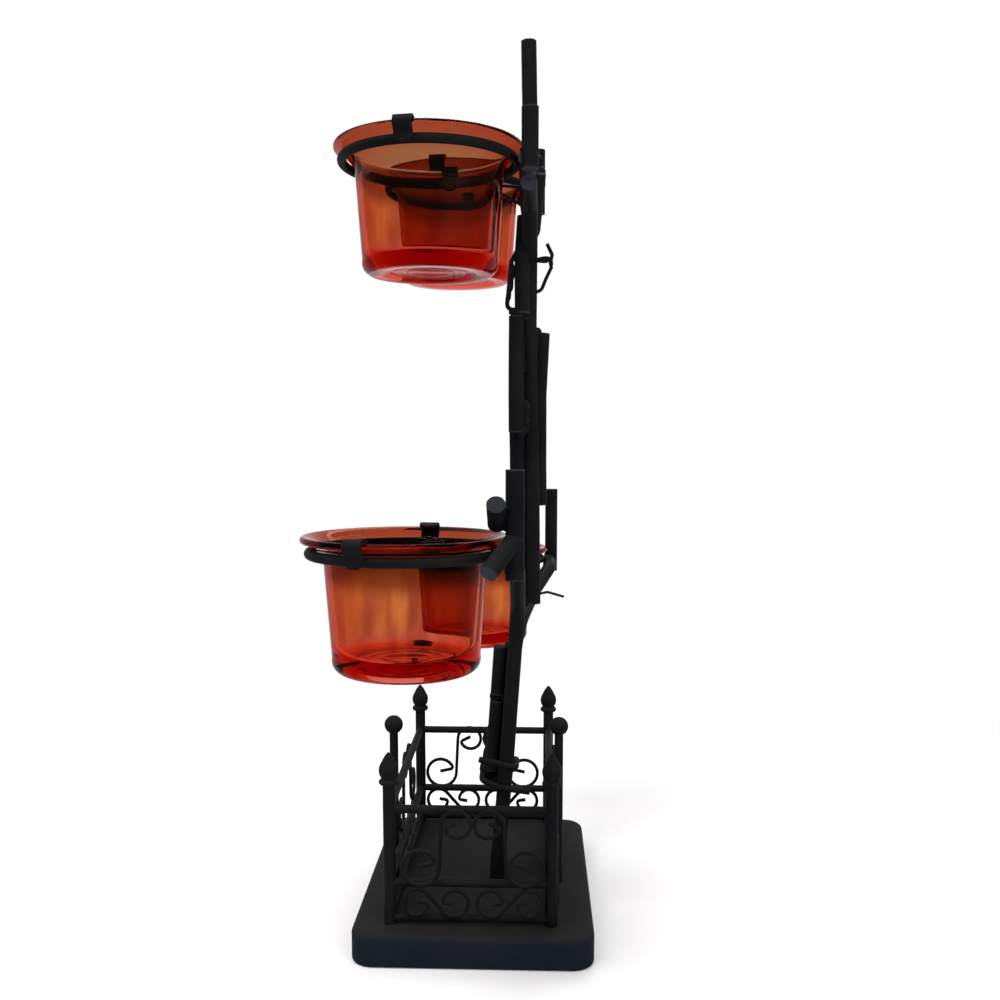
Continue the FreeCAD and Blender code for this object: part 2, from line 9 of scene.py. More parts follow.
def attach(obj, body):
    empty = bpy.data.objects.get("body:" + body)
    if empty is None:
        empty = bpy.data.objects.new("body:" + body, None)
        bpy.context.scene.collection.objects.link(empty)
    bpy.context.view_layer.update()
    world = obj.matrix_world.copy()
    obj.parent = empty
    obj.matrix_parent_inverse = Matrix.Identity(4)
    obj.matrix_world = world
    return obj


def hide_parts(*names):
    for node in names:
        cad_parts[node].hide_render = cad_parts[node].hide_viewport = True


bl_info = {
    "name": "Tree Candle Holder",
    "version": (1, 0, 0),
    "blender": (4, 5, 0),
    "location": "3D View > Sidebar > Candle Tree",
    "description": "Dresses an iron candle tree, its scrolled fence, block base and amber glass cups",
    "category": "Object",
}

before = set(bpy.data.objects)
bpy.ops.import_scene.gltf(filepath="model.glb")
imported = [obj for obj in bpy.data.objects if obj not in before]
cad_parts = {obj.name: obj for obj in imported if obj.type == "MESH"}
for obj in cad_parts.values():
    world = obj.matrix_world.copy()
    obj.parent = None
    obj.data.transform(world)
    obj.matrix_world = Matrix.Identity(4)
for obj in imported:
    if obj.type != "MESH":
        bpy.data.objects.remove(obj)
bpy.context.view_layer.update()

# Sizes and places are in millimetres, from the middle of the base's underside.
# The cups hang on the -Y side and the tree spreads along X.
MM = 0.001
UP = Vector((0, 0, 1))
CUP_NAMES = ("lower_right", "lower_left", "upper_right", "upper_left")
SIDES = (("front", -1), ("back", 1))
ENDS = (("right", 1), ("left", -1))

FENCE_MIDDLE = Vector((-3.4034, -0.9, 12.2))
FENCE_HALF = Vector((52.003, 30.0015, 0))
RAIL_LEVELS = {"top": 44.0, "middle": 15.9, "bottom": 2.3}
MIDDLE_POST_X = 13.521
END_SCROLL_SHIFT = 1.0
ROD_GAP = 0.08
SCROLL_GAP = 0.05

# The tree's reach, depth and height. The tables below are in shares of them.
TREE = Vector((84.0, 20.0, 330.0))
# Middle of each cup's rim
CUP_PLACES = {
    "lower_right": (1.0, -0.94, 0.45),
    "lower_left": (-0.76, -0.235, 0.3925),
    "upper_right": (0.44, -0.742, 0.857),
    "upper_left": (-0.57, -0.58, 0.8876),
}
# Depth and height of the trunk rods' line, how far along X it stands, and how the core goes on above it
TRUNK_LINE = [(0.425, 0.0), (0.425, 0.02), (0.615, 0.15), (0.775, 0.29)]
TRUNK_X = 0.095
CORE_TOP = [(0.095, 0.85, 0.365), (0.1, 0.798, 0.57)]
RODS = {
    "trunk_leader": [(0.095, 1.14, 0.345), (0.095, 1.115, 0.455), (0.083, 1.075, 0.576), (0.071, 1.04, 0.68),
                     (0.036, 1.05, 0.795), (0.071, 1.04, 0.909), (0.06, 1.01, 1.0)],
    "front_stay": [(0.169, 0.795, 0.552), (0.169, 0.79, 0.594), (0.107, 0.785, 0.648), (0.104, 0.79, 0.688)],
    "back_stay": [(0.019, 1.255, 0.464), (0.03, 1.245, 0.518), (0.027, 1.24, 0.597), (0.014, 1.3, 0.67)],
    "upper_stay": [(0.128, 0.906, 0.6905), (0.107, 0.895, 0.755), (0.1, 0.945, 0.802)],
    "crown_stub": [(0.048, 1.1, 0.788), (0.143, 1.205, 0.848)],
    "crown_brace": [(0.048, 1.05, 0.755), (0.31, 1.045, 0.802), (0.571, 1.035, 0.812)],
}
BOUGH_STARTS = {
    "lower_right": [(0.2, 0.84, 0.342), (0.5, 0.85, 0.395)],
    "lower_left": [(-0.03, 0.875, 0.318), (-0.36, 1.15, 0.343)],
    "upper_right": [(0.036, 1.05, 0.794), (0.167, 0.99, 0.818)],
    "upper_left": [(0.038, 1.05, 0.782), (-0.214, 1.08, 0.83)],
}
# How far a bough's level end starts before and goes on past its seat under the ring
LEVEL_RUNS = {"lower_right": (-0.15, 0.19), "lower_left": (0.17, -0.19),
              "upper_right": (-0.14, 0.19), "upper_left": (0.15, -0.19)}
# How far below its bough a twig starts, and its height
TWIGS = {"lower_right": (0.014, 0.104), "lower_left": (0.016, 0.12),
         "upper_right": (0.012, 0.062), "upper_left": (0.012, 0.085)}
TIES = {
    "hook": [(0.07, 1.04, 0.754), (0.088, 1.36, 0.751), (0.092, 1.5, 0.756), (0.095, 1.376, 0.771)],
    "hook_return": [(0.086, 1.472, 0.7455), (0.085, 1.35, 0.73), (0.083, 1.27, 0.718), (0.07, 1.04, 0.715)],
    "taper": [(0.106, 0.9, 0.775), (0.104, 0.69, 0.75), (0.112, 0.65, 0.724), (0.118, 0.597, 0.694),
              (0.128, 0.906, 0.6955)],
    "hair": [(0.1145, 1.17, 0.833), (0.143, 0.931, 0.832), (0.143, 0.379, 0.835), (0.143, 0.388, 0.828),
             (0.143, 0.627, 0.822), (0.12, 0.99, 0.809)],
    "fork": [(0.095, 1.14, 0.355), (0.1, 1.42, 0.3595), (0.107, 1.755, 0.354)],
}
# Thickness of each thin wire, against the tie wire's diameter
TIE_THICKNESS = {"hook": 1.25, "hook_return": 1.2, "taper": 1.5, "hair": 1.0, "fork": 0.9}
# Heights of the thick wire's corners, and of the two ends of each front brace
FOOT_TIE_LEVELS = [0.158, 0.148, 0.141, 0.137, 0.132, 0.128, 0.123, 0.118]
FRONT_BRACES = [(0.136, 0.224), (0.232, 0.292)]
# Lumps of weld paint: the place in shares and the half size in millimetres
LUMPS = [
    ((0.08, 1.24, 0.852), (2.4, 2.3, 2.8)), ((0.071, 1.157, 0.864), (2.8, 3.0, 3.4)),
    ((0.083, 0.965, 0.861), (2.6, 2.4, 3.2)), ((0.1, 1.04, 0.842), (2.4, 4.2, 3.8)),
    ((0.036, 1.255, 0.842), (1.8, 2.0, 3.2)), ((0.036, 1.18, 0.821), (1.8, 2.1, 5.0)),
    ((0.048, 1.162, 0.794), (1.6, 1.9, 5.0)), ((0.107, 0.702, 0.739), (0.9, 1.3, 4.2)),
    ((0.11, 0.683, 0.726), (0.9, 1.2, 3.6)), ((0.113, 0.655, 0.714), (0.8, 0.9, 3.0)),
    ((0.083, 1.339, 0.754), (0.9, 3.4, 1.3)), ((0.088, 1.456, 0.749), (0.8, 1.0, 1.9)),
    ((0.12, 0.802, 0.692), (2.4, 3.4, 1.9)), ((0.075, 0.25, 0.135), (4.0, 4.2, 5.4)),
    ((0.075, 0.407, 0.123), (3.6, 3.6, 3.2)), ((0.13, 0.703, 0.145), (2.6, 3.1, 3.4)),
    ((0.055, 0.275, 0.168), (2.4, 2.6, 8.0)), ((0.055, 0.24, 0.148), (2.5, 2.8, 6.0)),
    ((0.065, 0.407, 0.227), (2.4, 3.2, 3.6)),
]
# Where the clips sit round a ring, in degrees
CLIP_ANGLES = {"lower": (-20.0, 172.0), "upper": (-9.0, 172.0)}


def length(name, description, default):
    """A size in metres, given in millimetres."""
    return bpy.props.FloatProperty(name=name, description=description, default=default * MM, min=0.0,
                                   unit="LENGTH", subtype="DISTANCE", precision=5)


def colour(name, description, default):
    return bpy.props.FloatVectorProperty(name=name, description=description, default=default, size=3,
                                         min=0.0, max=1.0, subtype="COLOR")


class CandleTreeSizes(bpy.types.PropertyGroup):
    """Sizes of the iron, the base and the cups."""
    rod: length("Rod", "Diameter of the tree's rods", 5.6)
    rod_end: length("Rod end", "Rounding of a rod's cut end", 1.2)
    rod_bend: length("Rod bend", "Radius of the bends in the rods", 14.0)
    uneven: length("Hammer marks", "How far the rods' surface dips where it was hammered", 0.12)
    coat: length("Paint coat", "Thickness of the paint on the rods", 0.18)
    tie: length("Tie wire", "Diameter of the thin wires twisted round the rods", 1.2)
    tie_bend: length("Tie bend", "Radius of the bends in the thin wires", 2.4)
    foot_tie: length("Foot tie", "Diameter of the thick wire wound round the trunk's foot", 2.2)
    foot_tie_bend: length("Foot tie bend", "Radius of the bends in the thick wire", 3.6)
    corner_post: length("Corner post", "Diameter of the fence's corner posts", 4.6)
    corner_post_height: length("Corner post height", "Height of the corner posts above the base", 53.3)
    middle_post: length("Middle post", "Diameter of the ball-topped posts", 3.5)
    middle_post_height: length("Middle post height", "Height of the ball-topped posts above the base", 61.6)
    rail: length("Rail", "Diameter of the fence's rails", 3.2)
    scroll_wire: length("Scroll wire", "Width of the square wire of the scrolls", 1.4)
    acorn: length("Acorn", "Diameter of the acorn finials", 7.3)
    acorn_length: length("Acorn length", "Height of the acorn finials with their collars", 12.2)
    collar: length("Collar", "Diameter of the collars under the acorns", 7.3)
    ball: length("Ball", "Diameter of the ball finials", 7.5)
    base_length: length("Base length", "Length of the block base", 119.0)
    base_width: length("Base width", "Width of the block base", 90.0)
    base_height: length("Base height", "Height of the block base", 12.2)
    base_corner: length("Base corner", "Radius of the base's corners in plan", 8.5)
    base_round: length("Base top round", "Rounding of the base's top edge", 2.0)
    base_bevel: length("Base bevel", "Bevel of the base's foot", 0.8)
    cup_height: length("Cup height", "Height of the glass cups", 44.7)
    cup_rim: length("Cup rim", "Diameter of the cups across the rim", 68.0)
    cup_neck: length("Cup neck", "Diameter of the cups under the flare", 52.8)
    cup_heel: length("Cup heel", "Diameter of the cups above the heel", 48.8)
    cup_foot: length("Cup foot", "Diameter of the cups' foot", 43.6)
    cup_flare_height: length("Flare height", "Height of the cups' flare", 11.0)
    cup_heel_height: length("Heel height", "Height of the cups' heel", 5.0)
    cup_wall: length("Cup wall", "Thickness of the glass", 2.3)
    cup_floor: length("Cup floor", "Thickness of the cups' heavy floor", 6.0)
    ring: length("Ring", "Radius of the wire rings to the middle of their wire", 31.0)
    ring_wire: length("Ring wire", "Diameter of the rings' wire", 3.4)
    ring_clearance: length("Ring clearance", "Gap between a ring and its cup", 0.35)
    clip_width: length("Clip width", "Width of the strap clips", 6.4)
    clip_thickness: length("Clip thickness", "Thickness of the strap clips", 1.0)
    clip_clearance: length("Clip clearance", "Gap between a clip and its cup", 0.45)


class CandleTreeFinishes(bpy.types.PropertyGroup):
    """Colours and gloss."""
    iron: colour("Iron", "Black paint on the iron", (0.0052, 0.0057, 0.0069))
    iron_worn: colour("Iron, thin paint", "Where the paint lies thinner and browner", (0.0097, 0.0092, 0.0094))
    # Painted light: the paler upper sides of the iron stand for light from above, in patches.
    iron_toplight: colour("Iron, dusty", "Paler dust on the iron's upper sides", (0.0155, 0.0155, 0.0165))
    # Painted highlight: the paler cut ends stand for the frontal light that falls on them.
    iron_end_highlight: colour("Iron, cut ends", "Paler paint on the rods' cut ends", (0.032, 0.035, 0.043))
    iron_gloss: bpy.props.FloatProperty(name="Iron roughness", description="Roughness of the paint on the iron",
                                        default=0.45, min=0.0, max=1.0, subtype="FACTOR")
    block: colour("Base", "Black paint on the block base", (0.0055, 0.0088, 0.0145))
    block_rubbed: colour("Base, rubbed", "Where the base's paint is rubbed paler", (0.0095, 0.012, 0.016))
    # Painted light: the paler top of the base stands for light from above, in patches.
    block_toplight: colour("Base, dusty", "Paler dust on top of the base", (0.0175, 0.0172, 0.017))
    glass_wall: colour("Glass wall", "Amber of the cups' walls", (0.6, 0.34, 0.27))
    glass_pale: colour("Glass, pale streak", "Yellower streaks in the walls", (0.84, 0.66, 0.38))
    glass_heel: colour("Glass foot", "Deep red of the heavy floor", (0.8, 0.5, 0.72))
    glass_neck: colour("Glass neck", "Browner amber under the flare", (0.34, 0.17, 0.085))
    glass_rim: colour("Glass rim", "Red amber of the flared rim", (0.36, 0.1, 0.055))
    steel: colour("Screw steel", "Plated screws under the base", (0.45, 0.45, 0.46))
    floor: colour("Floor", "Pale floor under the holder", (0.9, 0.9, 0.9))


def millimetres(context):
    """The holder's sizes, in millimetres."""
    sizes = context.scene.candle_tree_sizes
    return SimpleNamespace(**{name: getattr(sizes, name) / MM for name in CandleTreeSizes.__annotations__})


# Paths

def at(share_x, share_y, share_z):
    """A point from its shares of the tree's reach, depth and height."""
    return FENCE_MIDDLE + Vector((share_x * TREE.x, share_y * TREE.y, share_z * TREE.z))


def places(shares):
    return [at(*one) for one in shares]


def bent(points, radius):
    """The line through the points with its corners rounded by arcs."""
    most_of_run, degrees_a_step = 0.45, 5
    line = [points[0]]
    for before, corner, after in zip(points, points[1:], points[2:]):
        into = (corner - before).normalized()
        out = (after - corner).normalized()
        turn = into.angle(out)
        shortest = min((corner - before).length, (after - corner).length)
        reach = min(radius * math.tan(turn / 2), shortest * most_of_run)
        bend = reach / math.tan(turn / 2)
        centre = corner + (out - into).normalized() * (bend / math.cos(turn / 2))
        spoke = corner - into * reach - centre
        axis = into.cross(out)
        steps = max(3, int(math.degrees(turn) / degrees_a_step))
        line += [centre + Matrix.Rotation(turn * step / steps, 3, axis) @ spoke for step in range(steps + 1)]
    return line + [points[-1]]


def runs(line):
    """How far along a line each of its points lies."""
    marks = [0.0]
    for a, b in zip(line, line[1:]):
        marks.append(marks[-1] + (b - a).length)
    return marks


def stations(line, spacing, end_round):
    """Points along a line, evenly apart, and closer together where its ends are rounded."""
    marks = runs(line)
    total = marks[-1]
    steps = max(2, int(total / spacing))
    round_angles = (0, 22, 44, 66, 90)
    near = [end_round * (1 - math.cos(math.radians(angle))) for angle in round_angles]
    even = [total * step / steps for step in range(1, steps)]
    wanted = near + [total - d for d in near] + [d for d in even if end_round < d < total - end_round]
    result = []
    index = 0
    for want in sorted(wanted):
        while index < len(line) - 2 and marks[index + 1] < want:
            index += 1
        a, b = line[index], line[index + 1]
        result.append(a + (b - a) * ((want - marks[index]) / max(marks[index + 1] - marks[index], 1e-9)))
    return result


def trunk_foot(place, sizes):
    """Foot of a trunk rod: 1 is the right one, 0 the core, -1 the left one."""
    return at(TRUNK_X, *TRUNK_LINE[0]) + Vector((place * (sizes.rod + ROD_GAP), 0, 0))


def trunk_line(place, sizes):
    x = trunk_foot(place, sizes).x
    return [Vector((x, at(0, y, 0).y, at(0, 0, z).z)) for y, z in TRUNK_LINE]


def cup_centre(name):
    """Middle of a cup's rim."""
    return at(*CUP_PLACES[name])


def flare(sizes):
    """Centre and radius of the arc of the flared wall's middle line, and the middle of the lip."""
    wall = sizes.cup_wall
    neck = sizes.cup_neck / 2 - wall / 2
    lip = Vector((sizes.cup_rim / 2 - wall / 2, 0, -wall / 2))
    rise = sizes.cup_flare_height - wall / 2
    out = lip.x - neck
    radius = (out ** 2 + rise ** 2) / (2 * out)
    return Vector((neck + radius, 0, -sizes.cup_flare_height)), radius, lip


def ring_level(sizes):
    """Level of the ring's wire against the rim."""
    centre, radius, _ = flare(sizes)
    reach = radius - sizes.cup_wall / 2 - sizes.ring_wire / 2 - sizes.ring_clearance
    return centre.z + math.sqrt(reach ** 2 - (centre.x - sizes.ring) ** 2)


def bough_line(name, sizes):
    seat_drop = 2.5
    reach = (sizes.ring_wire + sizes.rod) / 2 + ROD_GAP
    back = sizes.ring + math.sqrt(reach ** 2 - seat_drop ** 2)
    seat = cup_centre(name) + Vector((0, back, ring_level(sizes) - seat_drop))
    return places(BOUGH_STARTS[name]) + [seat + Vector((run * TREE.x, 0, 0)) for run in LEVEL_RUNS[name]]


def twig_line(name, sizes):
    drop, rise = TWIGS[name]
    back_share = 0.2
    foot = bough_line(name, sizes)[-1] + Vector((0, back_share * sizes.rod, -drop * TREE.z))
    return [foot, foot + UP * (rise * TREE.z)]


def spur_lines(sizes):
    """The two cut spurs, in shares of the rod's thickness and of the twig's height."""
    rod = sizes.rod
    foot, top = twig_line("lower_right", sizes)
    rise = top.z - foot.z
    beside = foot - Vector((0, rod + ROD_GAP, 0))
    return [
        [beside + Vector((-rod * 0.6, 0, rise * 0.5)), beside + Vector((rod, 0, rise * 0.7))],
        [foot + UP * (rise * 0.38), foot + Vector((rod * 1.9, -rod * 1.4, rise * 0.1))],
    ]


def front_brace_line(levels, sizes):
    line = trunk_line(0, sizes) + places(CORE_TOP)
    ends = []
    for level_share in levels:
        level = at(0, 0, level_share).z
        for low, high in zip(line, line[1:]):
            if low.z <= level <= high.z:
                ends.append(low + (high - low) * ((level - low.z) / (high.z - low.z)))
    return [end - Vector((0, sizes.rod + ROD_GAP, 0)) for end in ends]


def rod_lines(sizes):
    """Lines of the tree's rods, by node."""
    lines = {name: [places(shares)] for name, shares in RODS.items()}
    lines["trunk_core"] = [trunk_line(0, sizes) + places(CORE_TOP)]
    for name, place in (("lower_right", 1), ("lower_left", -1)):
        lines[name + "_bough"] = [trunk_line(place, sizes) + bough_line(name, sizes)]
    for name in ("upper_right", "upper_left"):
        lines[name + "_bough"] = [bough_line(name, sizes)]
    for name in CUP_NAMES:
        lines[name + "_twig"] = [twig_line(name, sizes)]
    lines["lower_right_spurs"] = spur_lines(sizes)
    lines["front_braces"] = [front_brace_line(levels, sizes) for levels in FRONT_BRACES]
    return {name: [bent(rod, sizes.rod_bend) for rod in rods] for name, rods in lines.items()}


def seams(sizes, reach, spacing=1.5):
    """Lines half-way between rods that lie within reach of each other."""
    rods = [stations(rod, spacing, 0.1) for rods in rod_lines(sizes).values() for rod in rods]
    for number, rod in enumerate(rods):
        for other in rods[number + 1:]:
            run = []
            for point in rod:
                nearest = min(other, key=lambda place: (place - point).length_squared)
                if (nearest - point).length < reach:
                    run.append((point + nearest) / 2)
                    continue
                if len(run) > 2:
                    yield run
                run = []
            if len(run) > 2:
                yield run


def foot_tie_line(sizes):
    """The wire wound round the trunk's foot."""
    rod = sizes.rod
    step = rod + ROD_GAP
    reach = rod / 2 + sizes.foot_tie / 2 + ROD_GAP * 2
    middle = trunk_foot(0, sizes)
    right, left = middle.x + step + reach, middle.x - step - reach
    line = trunk_line(0, sizes)
    back_shift, end_shift = rod * 0.3, rod * 0.2
    trunk_y = (line[1].y + line[2].y) / 2 + back_shift
    back, front, flank = trunk_y + reach, trunk_y - step - reach, trunk_y - rod / 2
    plan = [(right, front - end_shift), (right, back), (left, back), (left, flank), (middle.x - rod, front),
            (middle.x + rod, front), (right, flank), (right, back + rod)]
    return [Vector((x, y, at(0, 0, level).z)) for (x, y), level in zip(plan, FOOT_TIE_LEVELS)]


def fence_corners():
    for end, side_x in ENDS:
        for side, side_y in SIDES:
            yield side + "_" + end, FENCE_MIDDLE + Vector((side_x * FENCE_HALF.x, side_y * FENCE_HALF.y, 0))


# Scroll paths, in the XZ plane of a panel

def trace(here, heading, moves):
    """Points along moves: each is an arc (radius, degrees) or, at radius zero, a length."""
    least_steps, degrees_a_step = 6, 6
    points = [here]
    for radius, amount in moves:
        if radius == 0:
            points.append(points[-1] + heading * amount)
            continue
        centre = points[-1] + Vector((-heading.z, 0, heading.x)) * math.copysign(radius, amount)
        steps = max(least_steps, int(abs(amount) / degrees_a_step))
        turn = Matrix.Rotation(math.radians(-amount / steps), 3, "Y")
        for _ in range(steps):
            points.append(centre + turn @ (points[-1] - centre))
            heading = turn @ heading
    return points


def curl(start, heading, radius, turn, ending):
    """Half a turn, a tighter part of a turn, a sharp bend and a straight tail."""
    tighten, tail_bend = 0.6, 0.95
    tight, bend, tail = ending
    return trace(start, heading, [(radius, 180 * turn), (radius - tighten, tight * turn), (tail_bend, bend * turn),
                                  (0, tail)])


def s_scroll(first, first_radius, second, second_radius, turn, endings):
    """Two curls joined by the straight stem that crosses between them."""
    across = second - first
    reach = first_radius + second_radius
    lean = math.asin(reach / across.length)
    stem = math.sqrt(across.length ** 2 - reach ** 2)
    heading = (Matrix.Rotation(lean * turn, 3, "Y") @ across).normalized()
    side = Vector((heading.z, 0, -heading.x)) * turn
    leave = first - side * first_radius
    inner = curl(leave, -heading, first_radius, turn, endings[0])
    outer = curl(leave + heading * stem, heading, second_radius, turn, endings[1])
    return inner[::-1] + outer


def half_panel(reach, sizes):
    """The tall S over the lying S, to one side of a panel's middle line. Radii and places are shares of its reach."""
    top, middle, bottom = RAIL_LEVELS.values()
    upper, big, low = 0.18 * reach, 0.228 * reach, 0.173 * reach
    upper_end, big_end, low_end = (150, 90, 4.2), (150, 105, 5.2), (130, 90, 3.0)
    past_top, past_middle = 0.4, 0.1
    upper_place = Vector((upper + sizes.scroll_wire / 2 + SCROLL_GAP, 0, top + past_top - upper))
    big_place = Vector((0.64 * reach, 0, middle - past_middle + big))
    near, far = (Vector((share * reach, 0, (middle + bottom) / 2)) for share in (0.23, 0.69))
    return [s_scroll(upper_place, upper, big_place, big, 1, (upper_end, big_end)),
            s_scroll(near, low, far, low, -1, (low_end, low_end))]


def full_panel(reach, sizes):
    half = half_panel(reach, sizes)
    return half + [[Vector((-p.x, 0, p.z)) for p in line] for line in half]


def panel_lines(sizes):
    """Scroll lines of each side of the fence."""
    long_bay_share, short_bay_share, short_start_share = 0.916, 0.779, 0.148
    out = (sizes.rail + sizes.scroll_wire) / 2 + SCROLL_GAP
    panels = {}
    for end, side in ENDS:
        place = FENCE_MIDDLE + Vector((side * (FENCE_HALF.x + out), side * END_SCROLL_SHIFT, 0))
        panels[end + "_scrolls"] = [[place + Vector((0, p.x, p.z)) for p in line]
                                    for line in full_panel(FENCE_HALF.y, sizes)]
    short_length = FENCE_HALF.x - MIDDLE_POST_X
    bays = [((MIDDLE_POST_X - FENCE_HALF.x) / 2,
             full_panel((MIDDLE_POST_X + FENCE_HALF.x) / 2 * long_bay_share, sizes)),
            (MIDDLE_POST_X + short_length * short_start_share, half_panel(short_length * short_bay_share, sizes))]
    for name, side in SIDES:
        place = FENCE_MIDDLE + Vector((0, side * (FENCE_HALF.y + out), 0))
        panels[name + "_scrolls"] = [[place + Vector((x, 0, 0)) + p for p in line] for x, lines in bays
                                     for line in lines]
    return panels


# Nodes

class Net:
    """Adds nodes to a tree and joins them."""

    def __init__(self, tree):
        self.tree = tree

    def add(self, kind, settings=None, **inputs):
        node = self.tree.nodes.new(kind)
        for name, value in (settings or {}).items():
            setattr(node, name, value)
        for name, value in inputs.items():
            self.feed(node.inputs[name.replace("_", " ")], value)
        return node

    def out(self, kind, settings=None, **inputs):
        """The first output of a new node."""
        return self.add(kind, settings, **inputs).outputs[0]

    def feed(self, socket, value):
        if isinstance(value, bpy.types.NodeSocket):
            self.tree.links.new(value, socket)
        else:
            socket.default_value = value

    def math(self, operation, *values, clamp=False):
        node = self.add("ShaderNodeMath", {"operation": operation, "use_clamp": clamp})
        for socket, value in zip(node.inputs, values):
            self.feed(socket, value)
        return node.outputs[0]

    def noise(self, place, scale, detail=3.0, roughness=0.5):
        return self.out("ShaderNodeTexNoise", Vector=place, Scale=scale, Detail=detail, Roughness=roughness)

    def spread(self, value, low, high):
        """Maps 0..1 to low..high."""
        return self.out("ShaderNodeMapRange", Value=value, To_Min=low, To_Max=high)

    def rise(self, value, start, end):
        """0 up to the start, 1 from the end, and smooth between them."""
        return self.out("ShaderNodeMapRange", {"interpolation_type": "SMOOTHSTEP"}, Value=value, From_Min=start,
                        From_Max=end)

    def blend(self, fac, first, second):
        """A colour between two."""
        node = self.add("ShaderNodeMix", {"data_type": "RGBA"})
        self.feed(node.inputs[0], fac)
        for socket, value in ((node.inputs[6], first), (node.inputs[7], second)):
            self.feed(socket, value if isinstance(value, bpy.types.NodeSocket) else (*value, 1.0))
        return node.outputs[2]


def node_group(name, inputs):
    """A Geometry Nodes tree with named inputs: its net, its input sockets and their identifiers."""
    tree = bpy.data.node_groups.new(name, "GeometryNodeTree")
    tree.interface.new_socket("Geometry", in_out="INPUT", socket_type="NodeSocketGeometry")
    tree.interface.new_socket("Geometry", in_out="OUTPUT", socket_type="NodeSocketGeometry")
    known = {}
    for label, kind in inputs.items():
        known[label] = tree.interface.new_socket(label, in_out="INPUT", socket_type="NodeSocket" + kind).identifier
    net = Net(tree)
    return net, net.add("NodeGroupInput").outputs, known


def finish_tree(net, geometry, start):
    """Moves the surface inwards here and there, as hammering and welding leave it, and gives it its paint."""
    untouched_share = 0.75
    noise = net.out("ShaderNodeTexNoise", {"noise_dimensions": "4D"}, W=start["Seed"], Scale=start["Grain"],
                    Vector=net.out("GeometryNodeInputPosition"), Detail=2.0)
    dip = net.math("MULTIPLY", net.math("SUBTRACT", noise, untouched_share), start["Dimples"])
    offset = net.out("ShaderNodeVectorMath", {"operation": "SCALE"}, Vector=net.out("GeometryNodeInputNormal"),
                     Scale=net.math("MINIMUM", dip, 0.0))
    uneven = net.out("GeometryNodeSetPosition", Geometry=geometry, Offset=offset)
    smooth = net.out("GeometryNodeSetShadeSmooth", Geometry=uneven)
    real = net.out("GeometryNodeRealizeInstances", Geometry=smooth)
    painted = net.out("GeometryNodeSetMaterial", Geometry=real, Material=start["Material"])
    net.feed(net.add("NodeGroupOutput").inputs[0], painted)


def bar_tree():
    """A bar along a path, with an uneven surface and rounded ends, which the cut attribute marks."""
    net, start, known = node_group("bar along a path", {
        "Radius": "Float", "Sides": "Int", "Square": "Bool", "End Round": "Float", "Dimples": "Float",
        "Grain": "Float", "Seed": "Float", "Material": "Material"})
    radius, end_round = start["Radius"], start["End Round"]
    along = net.add("GeometryNodeSplineParameter").outputs["Length"]
    total = net.add("GeometryNodeSplineLength").outputs["Length"]
    from_end = net.math("MINIMUM", along, net.math("SUBTRACT", total, along))
    part = net.math("SUBTRACT", 1.0, net.math("DIVIDE", from_end, end_round, clamp=True))
    arch = net.math("SQRT", net.math("SUBTRACT", 1.0, net.math("POWER", part, 2.0)))
    inset = net.math("MULTIPLY", net.math("SUBTRACT", 1.0, arch), net.math("DIVIDE", end_round, radius))
    path = net.out("GeometryNodeMeshToCurve", Mesh=start["Geometry"])
    tapered = net.out("GeometryNodeSetCurveRadius", Curve=path, Radius=net.math("SUBTRACT", 1.0, inset))
    # The cut attribute marks the rounded ends, which the iron's paint gives a painted highlight.
    open_ended = net.math("MULTIPLY", end_round, 1e4, clamp=True)
    marked = net.out("GeometryNodeStoreNamedAttribute", {"data_type": "FLOAT", "domain": "POINT"}, Geometry=tapered,
                     Name="cut", Value=net.math("MULTIPLY", net.math("POWER", part, 4.0), open_ended))
    circle = net.out("GeometryNodeCurvePrimitiveCircle", Resolution=start["Sides"], Radius=radius)
    width = net.math("MULTIPLY", radius, 2.0)
    quad = net.out("GeometryNodeCurvePrimitiveQuadrilateral", Width=width, Height=width)
    soft = net.out("GeometryNodeFilletCurve", {"mode": "POLY"}, Curve=quad, Count=3,
                   Radius=net.math("MULTIPLY", radius, 0.5))
    section = net.out("GeometryNodeSwitch", {"input_type": "GEOMETRY"},
                      **{"Switch": start["Square"], "False": circle, "True": soft})
    bar = net.out("GeometryNodeCurveToMesh", Curve=marked, Profile_Curve=section, Fill_Caps=True)
    finish_tree(net, bar, start)
    return net.tree, known


def bead_tree():
    """Uneven weld beads, one on each point, as large as the point's bead attribute."""
    net, start, known = node_group("weld beads", {
        "Dimples": "Float", "Grain": "Float", "Seed": "Int", "Material": "Material"})
    ball = net.out("GeometryNodeMeshIcoSphere", Radius=1.0, Subdivisions=3)
    half = net.out("GeometryNodeInputNamedAttribute", {"data_type": "FLOAT_VECTOR"}, Name="bead")
    beads = net.out("GeometryNodeInstanceOnPoints", Points=start["Geometry"], Instance=ball, Scale=half)
    finish_tree(net, net.out("GeometryNodeRealizeInstances", Geometry=beads), start)
    return net.tree, known


# Meshes

TREES = {}
SHARP = 40  # degrees between two faces from which their edge is sharp


def new_object(name, data):
    thing = bpy.data.objects.new(name, data)
    bpy.context.scene.collection.objects.link(thing)
    return thing


def evaluated_mesh(piece):
    """The plain mesh that a piece's modifiers make."""
    graph = bpy.context.evaluated_depsgraph_get()
    return bpy.data.meshes.new_from_object(piece.evaluated_get(graph), preserve_all_data_layers=True, depsgraph=graph)


def apply_modifiers(piece, sharp):
    mesh = evaluated_mesh(piece)
    piece.modifiers.clear()
    piece.data = mesh
    mesh.set_sharp_from_angle(angle=math.radians(sharp))


def settle(piece, body, slot, *nodes):
    """Puts a finished piece on its body, in place of the CAD nodes it stands for."""
    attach(piece, body)
    if nodes:
        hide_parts(*nodes)


